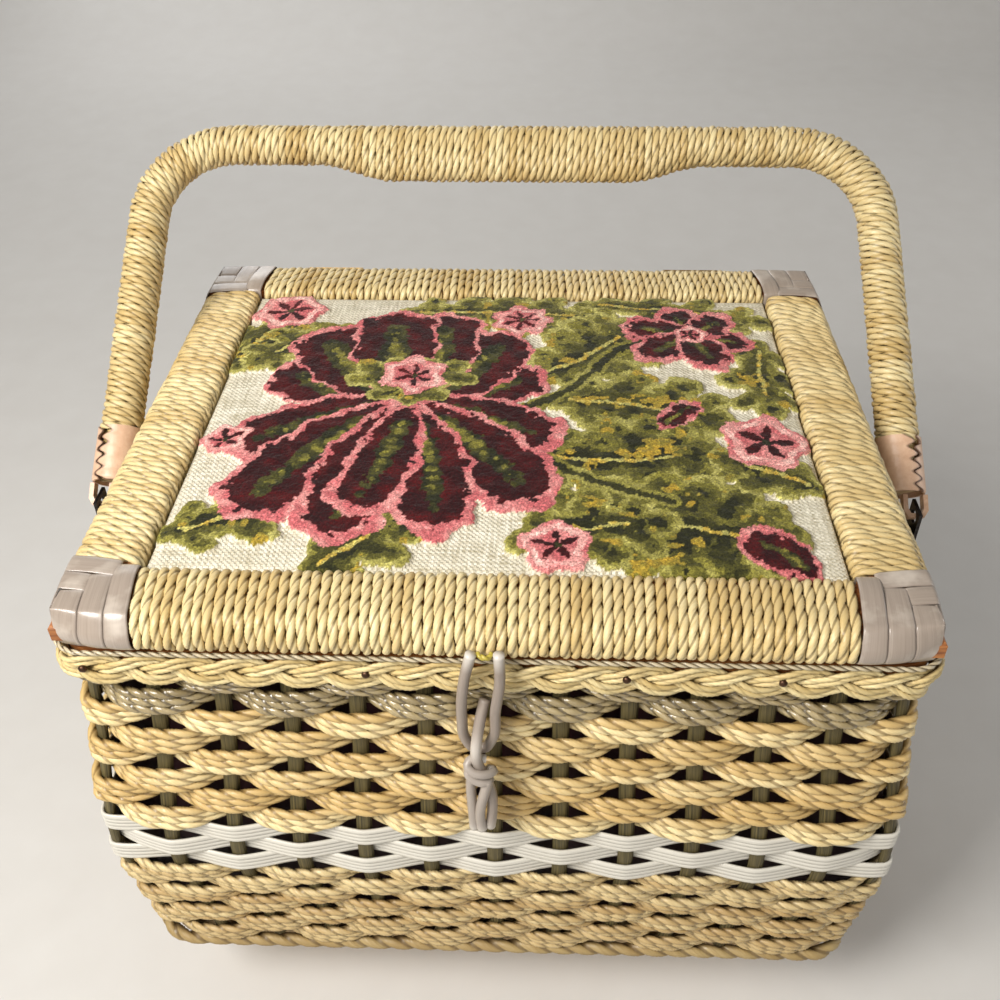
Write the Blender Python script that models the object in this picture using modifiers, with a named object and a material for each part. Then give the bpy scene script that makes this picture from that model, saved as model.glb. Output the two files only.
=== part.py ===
"""A rectangular wicker sewing basket with a hinged tapestry lid and a cord-wound bail handle.

Metres, +Z up. x runs to the right, y to the back, and the origin is the middle of the
base board's underside. The front, with the latch, faces -y.
"""

import math

import bmesh
import bpy
from mathutils import Matrix, Vector

MM = 0.001
GAP = 0.3 * MM
OVERRUN = 2 * MM

# Lid
LID_WIDTH = 280 * MM
LID_DEPTH = 235 * MM
LID_TOP = 194 * MM
RAIL_WIDTH = 25 * MM
RAIL_THICKNESS = 16 * MM
RAIL_SWELL = 4 * MM
WINDING = 2.6 * MM
CORNER_LENGTH = 25 * MM
CORNER_ROUNDING = 2 * MM
RAIL_ROUNDING = 2 * MM
PANEL_DROP = 2.6 * MM
PANEL_CROWN = 2.2 * MM
CROWN_SHARES = ((0, 0), (0.06, 0.6), (0.3, 1))
PANEL_SEAT = 2.4 * MM
LID_BOARD = 3 * MM
LID_LINING = 1.8 * MM
LID_LIFT = 2.2 * MM

# Rim
RIM_SIDE_STEP = 3.5 * MM
RIM_FRONT_STEP = 1.5 * MM
BRAID_HEIGHT = 12.9 * MM
BRAID_THICKNESS = 4.2 * MM
BRAID_PROUD = 1 * MM
RIM_FRAME_WIDTH = 11.2 * MM
RIM_FRAME_HEIGHT = 6.2 * MM
TRIM_WIDTH = 3.4 * MM
TRIM_HEIGHT = 1.3 * MM
TRIM_PROUD = 1.3 * MM

# Woven wall
SIDE_BULGE = 10 * MM
FRONT_BULGE = 8 * MM
CORNER_RADIUS = 14 * MM
STAKE_RADIUS = 2.75 * MM
STRIP_HEIGHT = 4.6 * MM
STRIP_THICKNESS = 2.4 * MM
CORD = 3.1 * MM
CORDS_PER_ROW = 3
GLOSSY_ROW = 4.2 * MM
WHITE_ROW = 8.3 * MM
UPPER_ROWS = 7
WHITE_ROWS = 3
LOWER_ROWS = 7
FRONT_SPACE_COUNT = 12
SIDE_SPACE_COUNT = 10
LEVEL_SHARES = (0.0, 0.205, 0.381, 0.493, 0.546, 0.598, 0.701, 0.805, 0.908, 1.0)
BULGE_SHARES = (0.0, 0.3, 0.72, 0.95, 1.0, 0.96, 0.71, 0.54, 0.36, 0.15)

# Base
FOOT_ROPE = 6.5 * MM
BASE_BOARD = 6.5 * MM

# Lining
LINING = 2 * MM

# Handle
PIVOT_BELOW_TOP = 40 * MM
PIVOT_Y = -16 * MM
HANDLE_LEAN = 39
HANDLE_REACH = 160 * MM
HANDLE_BESIDE_LID = 18.5 * MM
HANDLE_TAPER = 5 * MM
HANDLE_BEND = 35 * MM
HANDLE_RADIUS = 9 * MM
HANDLE_CORE = 5.2 * MM
GRIP_LENGTH = 104 * MM
GRIP_SWELL = 8 * MM
GRIP_EASE = 32 * MM
FERRULE_LENGTH = 22.7 * MM
FERRULE_START = 8.7 * MM
FERRULE_RADIUS = 9.4 * MM
FERRULE_WALL = 0.8 * MM
EYE_WIDTH = 9.6 * MM
EYE_STRAP = 1.8 * MM
EYE_DEPTH = 4 * MM
EYE_HOLE = 2.9 * MM

# Brackets on the side walls
BRACKET_METAL = 1.3 * MM
BRACKET_WIDTH = 14 * MM
BRACKET_HEIGHT = 20 * MM
BRACKET_RISE = 12 * MM
ARM_DROP = 6.7 * MM
ARM_WIDTH = 6 * MM
EAR_WIDTH = 10.6 * MM
EAR_TOP = 4.6 * MM

# Lid hinges
HINGE_INSET = 55 * MM
HINGE_LENGTH = 26 * MM
KNUCKLE_RADIUS = 2.3 * MM
HINGE_PIN = 1 * MM
PIN_FIT = 0.3 * MM
PIN_BEHIND_LID = 2.7 * MM
PIN_BELOW_LID = 0.7 * MM
UPPER_LEAF = 1.4 * MM
UPPER_LEAF_HEIGHT = 11 * MM
LOWER_LEAF_HEIGHT = 13 * MM
LOWER_LEAF_TOP = 1.3 * MM

# Latch
LATCH_X = -2.4 * MM
LOOP_RADIUS = 1.8 * MM
LOOP_TOP_BELOW_LID = 8 * MM
LOOP_REACH = 7.2 * MM
LOOP_DROP = 45.6 * MM
LOOP_SHARES = (
    (-0.5, 0),
    (-0.83, 0.26),
    (-1, 0.66),
    (-0.83, 0.9),
    (-0.14, 1),
    (0.3, 0.86),
    (0.44, 0.57),
    (0.72, 0.26),
    (0.69, 0),
)
STRAND = 1.9 * MM
TOGGLE_LENGTH = 57 * MM
TOGGLE_SHARES = (
    (0.1, 0, 0, 1, 0.9),
    (-0.6, 0.08, 0.06, 1, 0.95),
    (-1.05, 0.25, 0.165, 1, 1),
    (-1.35, 0.95, 0.265, 1, 1),
    (-1.7, 1, 0.36, 1.35, 1.05),
    (-1.35, 1, 0.43, 2, 1.25),
    (-0.65, 0.96, 0.57, 2.6, 1.35),
    (-0.4, 0.98, 0.71, 2.7, 1.35),
    (-0.65, 1.08, 0.885, 2.3, 1.35),
    (-0.8, 1.12, 1, 1.6, 1.15),
)
TIE_RADIUS = 1.1 * MM

# Worked out from the sizes above
LID_BOTTOM = LID_TOP - RAIL_THICKNESS
LID_HALF_X = LID_WIDTH / 2
LID_HALF_Y = LID_DEPTH / 2
LID_OUTER_X = LID_HALF_X + RAIL_SWELL
LID_OUTER_Y = LID_HALF_Y + RAIL_SWELL
OPENING_X = LID_HALF_X - RAIL_WIDTH
OPENING_Y = LID_HALF_Y - RAIL_WIDTH
RIM_TOP = LID_BOTTOM - LID_LIFT
WALL_TOP = RIM_TOP + GAP - BRAID_HEIGHT
RIM_HALF_X = LID_HALF_X + RIM_SIDE_STEP
RIM_HALF_Y = LID_HALF_Y + RIM_FRONT_STEP
PIVOT_Z = LID_TOP - PIVOT_BELOW_TOP
HANDLE_HALF_WIDTH = LID_HALF_X + HANDLE_BESIDE_LID
HINGE_SPREAD = LID_HALF_X - HINGE_INSET
FRAME_BOTTOM = RIM_TOP - RIM_FRAME_HEIGHT
CORD_ROW = CORD * CORDS_PER_ROW


def weave_reach():
    """How far a row's centre line stands off the stakes' line, so that it clears the stake it passes."""
    clear = STAKE_RADIUS + CORD / 2 + GAP * 4 / 3
    pitch = 2 * (RIM_HALF_Y - CORNER_RADIUS) / SIDE_SPACE_COUNT
    return clear / math.sqrt(1 - (2 * clear / pitch) ** 2)


WEAVE_REACH = weave_reach()
WALL_IN = WEAVE_REACH + CORD / 2

for old in list(bpy.data.objects):
    bpy.data.objects.remove(old, do_unlink=True)

BASKET = bpy.data.collections.new("sewing_basket")
CUTTERS = bpy.data.collections.new("cutters")
bpy.context.scene.collection.children.link(BASKET)
bpy.context.scene.collection.children.link(CUTTERS)
CUTTERS.hide_render = True


def finish(name, colour, roughness, metallic=0.0):
    """A Principled material in a linear colour."""
    material = bpy.data.materials.new(name)
    material.use_nodes = True
    shader = material.node_tree.nodes["Principled BSDF"]
    shader.inputs["Base Color"].default_value = (*colour, 1)
    shader.inputs["Roughness"].default_value = roughness
    shader.inputs["Metallic"].default_value = metallic
    material.diffuse_color = (*colour, 1)
    return material


PAPER_CORD = finish("twisted_paper_cord", (0.72, 0.56, 0.27), 0.6)
RAIL_CORD = finish("wound_paper_cord", (0.64, 0.5, 0.25), 0.6)
GLOSSY_CANE = finish("glossy_cane", (0.47, 0.37, 0.2), 0.4)
STAKE_REED = finish("olive_reed", (0.13, 0.11, 0.06), 0.7)
WHITE_CANE = finish("white_plastic_cane", (0.78, 0.75, 0.68), 0.35)
VINYL_STRIP = finish("pearly_vinyl_strip", (0.38, 0.33, 0.3), 0.35)
VINYL_CORD = finish("grey_vinyl_cord", (0.36, 0.3, 0.26), 0.4)
TIE_PLASTIC = finish("yellow_plastic_twist", (0.55, 0.46, 0.12), 0.35)
TAPESTRY = finish("velvet_tapestry", (0.45, 0.3, 0.2), 0.9)
RIM_WOOD = finish("orange_brown_wood", (0.32, 0.13, 0.04), 0.5)
PALE_WOOD = finish("pale_board", (0.5, 0.36, 0.2), 0.7)
SATIN = finish("maroon_satin", (0.12, 0.01, 0.02), 0.4)
FERRULE_PAINT = finish("beige_painted_metal", (0.69, 0.43, 0.3), 0.4)
DARK_METAL = finish("dark_steel", (0.05, 0.045, 0.04), 0.45, 0.9)
BRASS = finish("brass", (0.6, 0.42, 0.16), 0.35, 1.0)


def add_object(name, mesh, material, smooth=False, collection=None):
    """Puts a mesh in the scene as a part of the basket."""
    obj = bpy.data.objects.new(name, mesh)
    (collection or BASKET).objects.link(obj)
    if material:
        mesh.materials.append(material)
    if smooth:
        mesh.shade_smooth()
        mesh.set_sharp_from_angle(angle=math.radians(40))
    return obj


def loft(name, rings, material, closed=False, smooth=False, collection=None):
    """Skins equal rings of points, capped at the ends, or joined end to start."""
    bm = bmesh.new()
    rows = [[bm.verts.new(point) for point in ring] for ring in rings]
    pairs = list(zip(rows, rows[1:]))
    if closed:
        pairs.append((rows[-1], rows[0]))
    count = len(rows[0])
    for low, high in pairs:
        for k in range(count):
            bm.faces.new((low[k], low[(k + 1) % count], high[(k + 1) % count], high[k]))
    if not closed:
        bm.faces.new(rows[0][::-1])
        bm.faces.new(rows[-1])
    bmesh.ops.recalc_face_normals(bm, faces=bm.faces)
    mesh = bpy.data.meshes.new(name)
    bm.to_mesh(mesh)
    bm.free()
    return add_object(name, mesh, material, smooth, collection)


def box(name, low, high, material, bevel=0.0, collection=None):
    """A block between two corners, its edges eased."""
    bm = bmesh.new()
    bmesh.ops.create_cube(bm, size=1)
    low, high = Vector(low), Vector(high)
    size = high - low
    for vert in bm.verts:
        vert.co = low + Vector(((vert.co[i] + 0.5) * size[i] for i in range(3)))
    mesh = bpy.data.meshes.new(name)
    bm.to_mesh(mesh)
    bm.free()
    obj = add_object(name, mesh, material, False, collection)
    if bevel:
        ease = obj.modifiers.new("ease", "BEVEL")
        ease.width = bevel
        ease.segments = 1
    return obj


def rod(name, start, end, radius, material, sides=12, collection=None):
    """A straight round bar between two points."""
    start, end = Vector(start), Vector(end)
    bm = bmesh.new()
    length = (end - start).length
    bmesh.ops.create_cone(bm, cap_ends=True, segments=sides, radius1=radius, radius2=radius, depth=length)
    turn = Vector((0, 0, 1)).rotation_difference(end - start).to_matrix().to_4x4()
    bmesh.ops.transform(bm, matrix=Matrix.Translation((start + end) / 2) @ turn, verts=bm.verts)
    mesh = bpy.data.meshes.new(name)
    bm.to_mesh(mesh)
    bm.free()
    return add_object(name, mesh, material, True, collection)


def tube(name, points, radii, material, collection=None):
    """A round tube along points, made a mesh with its caps welded."""
    curve = bpy.data.curves.new(name, "CURVE")
    curve.dimensions = "3D"
    curve.bevel_depth = 1
    curve.bevel_resolution = 2
    curve.use_fill_caps = True
    spline = curve.splines.new("POLY")
    spline.points.add(len(points) - 1)
    for target, point, radius in zip(spline.points, points, radii):
        target.co = (*point, 1)
        target.radius = radius
    guide = bpy.data.objects.new(name + "_guide", curve)
    CUTTERS.objects.link(guide)
    bpy.context.view_layer.update()
    mesh = bpy.data.meshes.new_from_object(guide.evaluated_get(bpy.context.evaluated_depsgraph_get()))
    bpy.data.objects.remove(guide, do_unlink=True)
    bm = bmesh.new()
    bm.from_mesh(mesh)
    bmesh.ops.remove_doubles(bm, verts=bm.verts, dist=GAP / 100)
    bm.to_mesh(mesh)
    bm.free()
    return add_object(name, mesh, material, True, collection)


def boolean(obj, other, operation):
    """Cuts or joins with a helper, which is left out of the render."""
    other.hide_render = True
    other.display_type = "WIRE"
    step = obj.modifiers.new(operation.lower(), "BOOLEAN")
    step.operation = operation
    step.solver = "EXACT"
    step.object = other


def smooth_route(points, steps):
    """Points of a Catmull-Rom curve through the route's own points."""
    route = [Vector(p) for p in points]
    route = [2 * route[0] - route[1], *route, 2 * route[-1] - route[-2]]
    found = []
    for a, b, c, d in zip(route, route[1:], route[2:], route[3:]):
        for k in range(steps):
            t = k / steps
            found.append(
                0.5 * ((2 * b) + (c - a) * t + (2 * a - 5 * b + 4 * c - d) * t**2 + (3 * b - a - 3 * c + d) * t**3)
            )
    return found + [route[-2]]


def bulge_share(z):
    """How much of the bulge the wall has at a height: nothing at the rim, all of it at the white band."""
    level = min(max((WALL_TOP - z) / WALL_TOP, 0), 1)
    for low, high, start, end in zip(LEVEL_SHARES, LEVEL_SHARES[1:], BULGE_SHARES, BULGE_SHARES[1:]):
        if level <= high:
            return start + (end - start) * (level - low) / (high - low)
    return BULGE_SHARES[-1]


def wall_half(z):
    """Half the basket's width and depth over the weave at a height."""
    share = bulge_share(z)
    return RIM_HALF_X + SIDE_BULGE * share, RIM_HALF_Y + FRONT_BULGE * share


def rounded_ring(half_x, half_y, radius, z, steps):
    """Points round a rectangle with round corners, anticlockwise from above."""
    points = []
    for quarter in range(4):
        x_side = (1, -1, -1, 1)[quarter]
        y_side = (1, 1, -1, -1)[quarter]
        for k in range(steps + 1):
            angle = math.radians(90) * (quarter + k / steps)
            x = x_side * (half_x - radius) + radius * math.cos(angle)
            y = y_side * (half_y - radius) + radius * math.sin(angle)
            points.append(Vector((x, y, z)))
    return points


def hoop(name, half_x, half_y, radius, section, material, steps=4):
    """A closed frame: section holds (outwards, height) points from the outer face of the frame."""
    rings = []
    base = rounded_ring(half_x, half_y, radius, 0, steps)
    for k, point in enumerate(base):
        angle = math.radians(90) * (k // (steps + 1) + (k % (steps + 1)) / steps)
        normal = Vector((math.cos(angle), math.sin(angle), 0))
        rings.append([point + normal * out + Vector((0, 0, height)) for out, height in section])
    return loft(name, rings, material, closed=True)


def stakes_at(z):
    """Every stake's centre and outward normal at a height, from the back right corner anticlockwise."""
    half_x, half_y = wall_half(z)
    cut = CORNER_RADIUS * (1 - math.cos(math.radians(45)))
    corner_x = half_x - WALL_IN - cut
    corner_y = half_y - WALL_IN - cut
    line_x = half_x - WALL_IN
    line_y = half_y - WALL_IN
    diagonal = math.sqrt(0.5)
    found = []
    sides = (
        (FRONT_SPACE_COUNT, (1, 1), (-1, 0), (0, 1)),
        (SIDE_SPACE_COUNT, (-1, 1), (0, -1), (-1, 0)),
        (FRONT_SPACE_COUNT, (-1, -1), (1, 0), (0, -1)),
        (SIDE_SPACE_COUNT, (1, -1), (0, 1), (1, 0)),
    )
    for gaps, corner, along, normal in sides:
        place = Vector((corner[0] * corner_x, corner[1] * corner_y, z))
        found.append((place, Vector((corner[0] * diagonal, corner[1] * diagonal, 0)), normal))
        reach = 2 * (corner_x if along[0] else corner_y)
        for k in range(1, gaps):
            spot = place + Vector((*along, 0)) * reach * k / gaps
            if normal[0]:
                spot.x = normal[0] * line_x
            else:
                spot.y = normal[1] * line_y
            found.append((spot, Vector((*normal, 0)), normal))
    return found


def weave_path(z, phase):
    """A row's centre line at a height: outside one stake and inside the next, and round each corner."""
    stakes = stakes_at(z)
    path = []
    for k, (place, normal, own) in enumerate(stakes):
        outside = (k + phase) % 2 == 0
        corner = abs(normal.x * normal.y) > 0
        if corner and outside:
            before = Vector((*stakes[k - 1][2], 0))
            after = Vector((*own, 0))
            path += [place + before * WEAVE_REACH, place + normal * WEAVE_REACH, place + after * WEAVE_REACH]
        else:
            path.append(place + normal * (WEAVE_REACH if outside else -WEAVE_REACH))
    return path


def mitred(path, half_width):
    """The path moved out and in by half its width, each corner mitred."""
    outer, inner = [], []
    count = len(path)
    for k, point in enumerate(path):
        before = (point - path[k - 1]).normalized()
        after = (path[(k + 1) % count] - point).normalized()
        first = Vector((before.y, -before.x, 0))
        second = Vector((after.y, -after.x, 0))
        mitre = (first + second) / max(1 + first.dot(second), 0.5)
        outer.append(point + mitre * half_width)
        inner.append(point - mitre * half_width)
    return outer, inner


def woven_row(name, top, height, phase, material):
    """One row of the weave: a flat ribbon of parallel cords, round the whole basket."""
    upper_out, upper_in = mitred(weave_path(top, phase), CORD / 2)
    lower_out, lower_in = mitred(weave_path(top - height, phase), CORD / 2)
    return loft(name, list(zip(upper_out, lower_out, lower_in, upper_in)), material, closed=True)


def make_weave():
    """All rows from the rim down. It returns the height under the last one."""
    top = WALL_TOP - GAP
    woven_row("glossy_row", top, GLOSSY_ROW, 0, GLOSSY_CANE)
    top -= GLOSSY_ROW + GAP
    phase = 1
    for k in range(UPPER_ROWS):
        woven_row(f"upper_row_{k + 1}", top, CORD_ROW, phase, PAPER_CORD)
        top -= CORD_ROW + GAP
        phase = 1 - phase
    for k in range(WHITE_ROWS):
        woven_row(f"white_row_{k + 1}", top, WHITE_ROW, phase, WHITE_CANE)
        top -= WHITE_ROW + GAP
        phase = 1 - phase
    lower_pitch = (top - FOOT_ROPE) / LOWER_ROWS
    for k in range(LOWER_ROWS):
        woven_row(f"lower_row_{k + 1}", top, lower_pitch - GAP, phase, PAPER_CORD)
        top -= lower_pitch
        phase = 1 - phase


def stake_rings(index, levels):
    """Six-sided rings of one stake at each level."""
    rings = []
    for z in levels:
        place = stakes_at(z)[index][0]
        ring = []
        for k in range(6):
            angle = math.radians(60) * k
            ring.append(place + STAKE_RADIUS * Vector((math.cos(angle), math.sin(angle), 0)))
        rings.append(ring)
    return rings


def stake_comb(name, indices, along_x):
    """One wall's stakes, joined by the cross strip that they are nailed to under the rim."""
    top = FRAME_BOTTOM - GAP
    levels = [top - STRIP_HEIGHT / 10]
    levels += [WALL_TOP * (1 - share) for share in LEVEL_SHARES[:-1]]
    levels.append(FOOT_ROPE + GAP)
    bm = bmesh.new()
    for index in indices:
        rows = [[bm.verts.new(point) for point in ring] for ring in stake_rings(index, levels)]
        for high, low in zip(rows, rows[1:]):
            for k in range(6):
                bm.faces.new((low[k], low[(k + 1) % 6], high[(k + 1) % 6], high[k]))
        bm.faces.new(rows[0])
        bm.faces.new(rows[-1][::-1])
    bmesh.ops.recalc_face_normals(bm, faces=bm.faces)
    mesh = bpy.data.meshes.new(name)
    bm.to_mesh(mesh)
    bm.free()
    comb = add_object(name, mesh, STAKE_REED)
    places = [stakes_at(top)[index][0] for index in indices]
    middle = places[len(places) // 2]
    low = Vector((min(p.x for p in places), min(p.y for p in places), top - STRIP_HEIGHT))
    high = Vector((max(p.x for p in places), max(p.y for p in places), top))
    if along_x:
        low.y = middle.y - STRIP_THICKNESS / 2
        high.y = middle.y + STRIP_THICKNESS / 2
        if middle.y > 0:
            low.y -= CORNER_RADIUS / 4
        else:
            high.y += CORNER_RADIUS / 4
    else:
        low.x = middle.x - STRIP_THICKNESS / 2
        high.x = middle.x + STRIP_THICKNESS / 2
    strip = box(name + "_strip", low, high, None, collection=CUTTERS)
    boolean(comb, strip, "UNION")


def make_stakes():
    """Four combs: the corner stakes belong to the front and the back."""
    count = 2 * (FRONT_SPACE_COUNT + SIDE_SPACE_COUNT)
    left = FRONT_SPACE_COUNT
    front = left + SIDE_SPACE_COUNT
    right = front + FRONT_SPACE_COUNT
    stake_comb("back_stakes", range(0, left + 1), True)
    stake_comb("left_stakes", range(left + 1, front), False)
    stake_comb("front_stakes", range(front, right + 1), True)
    stake_comb("right_stakes", range(right + 1, count), False)


def make_rim():
    """The wooden hoop, the plaited border nailed round it and the gimp along its top edge."""
    braid_x = RIM_HALF_X + BRAID_PROUD
    braid_y = RIM_HALF_Y + BRAID_PROUD
    braid_top = WALL_TOP + BRAID_HEIGHT
    ease = BRAID_THICKNESS / 3
    section = (
        (0, WALL_TOP + ease),
        (0, braid_top - ease),
        (-ease, braid_top),
        (-BRAID_THICKNESS, braid_top),
        (-BRAID_THICKNESS, WALL_TOP),
        (-ease, WALL_TOP),
    )
    hoop("rim_braid", braid_x, braid_y, CORNER_RADIUS + BRAID_PROUD, section, PAPER_CORD)
    frame_x = braid_x - BRAID_THICKNESS - GAP
    frame_y = braid_y - BRAID_THICKNESS - GAP
    radius = RIM_FRAME_WIDTH + GAP * 2
    section = (
        (0, FRAME_BOTTOM),
        (0, RIM_TOP),
        (-RIM_FRAME_WIDTH, RIM_TOP),
        (-RIM_FRAME_WIDTH, FRAME_BOTTOM),
    )
    hoop("rim_frame", frame_x, frame_y, radius, section, RIM_WOOD)
    trim_low = braid_top + GAP
    trim_high = trim_low + TRIM_HEIGHT
    section = (
        (TRIM_PROUD, trim_low),
        (TRIM_PROUD, trim_high - TRIM_HEIGHT / 3),
        (TRIM_PROUD - TRIM_WIDTH / 3, trim_high),
        (TRIM_PROUD - TRIM_WIDTH, trim_high),
        (TRIM_PROUD - TRIM_WIDTH, trim_low),
    )
    hoop("rim_trim", braid_x, braid_y, CORNER_RADIUS + BRAID_PROUD, section, GLOSSY_CANE)


def make_base():
    """The board that everything stands on, and the rope laid round its edge."""
    half_x, half_y = wall_half(0)
    rope = FOOT_ROPE / 2
    flat = math.radians(22.5)
    corner = rope / math.cos(flat)
    section = []
    for k in range(8):
        angle = flat + math.radians(45) * k
        section.append((corner * math.cos(angle), rope + corner * math.sin(angle)))
    hoop("foot_rope", half_x - rope, half_y - rope, CORNER_RADIUS, section, PAPER_CORD)
    board_x = half_x - FOOT_ROPE - GAP
    board_y = half_y - FOOT_ROPE - GAP
    rings = [rounded_ring(board_x, board_y, CORNER_RADIUS - rope, z, 4) for z in (0, BASE_BOARD)]
    loft("base_board", rings, PALE_WOOD)


def make_lining():
    """Five thin boards covered in satin: a floor, and four walls mitred at the corners."""
    inward = 2 * WALL_IN + GAP * 6
    floor_low = BASE_BOARD + GAP
    floor_high = floor_low + LINING
    half_x, half_y = wall_half(0)
    rings = [
        rounded_ring(half_x - inward - GAP, half_y - inward - GAP, CORNER_RADIUS / 2, z, 3)
        for z in (floor_low, floor_high)
    ]
    loft("lining_floor", rings, SATIN)
    levels = [RIM_TOP - GAP, FRAME_BOTTOM] + [WALL_TOP * (1 - share) for share in LEVEL_SHARES[:-1]]
    levels.append(floor_high + GAP)
    trim = GAP * 8
    walls = (("front", 0, -1), ("back", 0, 1), ("left", -1, 0), ("right", 1, 0))
    for name, x_side, y_side in walls:
        rings = []
        for z in levels:
            half_x, half_y = wall_half(z)
            out_x = half_x - inward
            out_y = half_y - inward
            in_x = out_x - LINING
            in_y = out_y - LINING
            if y_side:
                ring = [(-out_x + trim, out_y), (out_x - trim, out_y), (in_x - GAP, in_y), (-in_x + GAP, in_y)]
                ring = [(x, y * y_side) for x, y in ring]
            else:
                ring = [(out_x, -out_y + trim), (out_x, out_y - trim), (in_x, in_y - GAP), (in_x, -in_y + GAP)]
                ring = [(x * x_side, y) for x, y in ring]
            rings.append([Vector((x, y, z)) for x, y in ring])
        loft(f"lining_{name}", rings, SATIN)


def rail_section(inset=0.0):
    """A wound rail's outline, as (outwards from the lid's opening, height over the lid's underside)."""
    width = RAIL_WIDTH + RAIL_SWELL
    tall = RAIL_THICKNESS
    low = inset
    ease = RAIL_ROUNDING
    return (
        (low, low + ease),
        (low + ease, low),
        (width - inset - 2 * ease, low),
        (width - inset, low + 2 * ease),
        (width - inset, tall * 0.55),
        (RAIL_WIDTH - inset, tall - inset - ease),
        (RAIL_WIDTH - ease - inset, tall - inset),
        (low + ease, tall - inset),
        (low, tall - inset - ease),
    )


def rail_winding(name, half_length, x_side, y_side):
    """The cord wound round one rail: an open tube with a wall as thick as the cord."""
    rings = []
    for end in (-half_length, half_length):
        ring = []
        for out, up in rail_section():
            z = LID_BOTTOM + up
            if y_side:
                ring.append(Vector((end, y_side * (OPENING_Y + out), z)))
            else:
                ring.append(Vector((x_side * (OPENING_X + out), end, z)))
        rings.append(ring)
    bm = bmesh.new()
    first, second = [[bm.verts.new(point) for point in ring] for ring in rings]
    count = len(first)
    for k in range(count):
        bm.faces.new((first[k], first[(k + 1) % count], second[(k + 1) % count], second[k]))
    bmesh.ops.recalc_face_normals(bm, faces=bm.faces)
    face = max(bm.faces, key=lambda f: f.calc_center_median().z)
    if face.normal.z < 0:
        bmesh.ops.reverse_faces(bm, faces=bm.faces)
    mesh = bpy.data.meshes.new(name)
    bm.to_mesh(mesh)
    bm.free()
    obj = add_object(name, mesh, RAIL_CORD)
    wall = obj.modifiers.new("winding", "SOLIDIFY")
    wall.thickness = WINDING
    wall.offset = -1
    wall.use_even_offset = True
    wall.use_rim = True
    return obj


def core_section(clear):
    """The wooden core of a rail, grown by a clearance."""
    inset = WINDING + GAP - clear
    width = RAIL_WIDTH + RAIL_SWELL
    ease = RAIL_ROUNDING
    top = RAIL_THICKNESS - inset
    return (
        (inset, inset),
        (width - inset - ease, inset),
        (width - inset - ease, RAIL_THICKNESS * 0.5),
        (RAIL_WIDTH - inset - ease, top),
        (inset, top),
    )


def core_hoop(name, clear, material, collection=None):
    """The four rails joined at mitred corners."""
    rings = []
    for x_side, y_side in ((1, 1), (-1, 1), (-1, -1), (1, -1)):
        ring = []
        for out, up in core_section(clear):
            ring.append(Vector((x_side * (OPENING_X + out), y_side * (OPENING_Y + out), LID_BOTTOM + up)))
        rings.append(ring)
    return loft(name, rings, material, closed=True, collection=collection)


def make_lid():
    """Frame, windings, corner wraps, tapestry panel and lining."""
    core_hoop("lid_frame", 0, RIM_WOOD)
    reach_x = LID_HALF_X - CORNER_LENGTH
    reach_y = LID_HALF_Y - CORNER_LENGTH
    rail_winding("lid_front_winding", reach_x - GAP, 0, -1)
    rail_winding("lid_back_winding", reach_x - GAP, 0, 1)
    rail_winding("lid_left_winding", reach_y - GAP, -1, 0)
    rail_winding("lid_right_winding", reach_y - GAP, 1, 0)
    channel = core_hoop("corner_channel", GAP, None, CUTTERS)
    corners = (
        ("front_left", -1, -1),
        ("front_right", 1, -1),
        ("back_left", -1, 1),
        ("back_right", 1, 1),
    )
    for name, x_side, y_side in corners:
        near = (x_side * reach_x, y_side * reach_y, LID_BOTTOM)
        far = (x_side * LID_OUTER_X, y_side * LID_OUTER_Y, LID_TOP)
        low = [min(a, b) for a, b in zip(near, far)]
        high = [max(a, b) for a, b in zip(near, far)]
        wrap = box(f"lid_corner_{name}", low, high, VINYL_STRIP, CORNER_ROUNDING)
        boolean(wrap, channel, "DIFFERENCE")
    half_x = OPENING_X - GAP
    half_y = OPENING_Y - GAP
    low = LID_BOTTOM + PANEL_SEAT
    inset = RAIL_WIDTH / 8
    for name, bottom, thickness, material in (
        ("lid_lining", low - GAP - LID_LINING, LID_LINING, SATIN),
        ("lid_board", low, LID_BOARD, PALE_WOOD),
    ):
        rings = [rounded_ring(half_x, half_y, inset, z, 2) for z in (bottom, bottom + thickness)]
        loft(name, rings, material)
    edge = LID_TOP - PANEL_DROP - PANEL_CROWN
    rings = [rounded_ring(half_x, half_y, inset, low + LID_BOARD + GAP, 2)]
    for share, rise in CROWN_SHARES:
        pull = share * half_y
        rings.append(rounded_ring(half_x - pull, half_y - pull, inset, edge + PANEL_CROWN * rise, 2))
    loft("lid_panel", rings, TAPESTRY)


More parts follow.
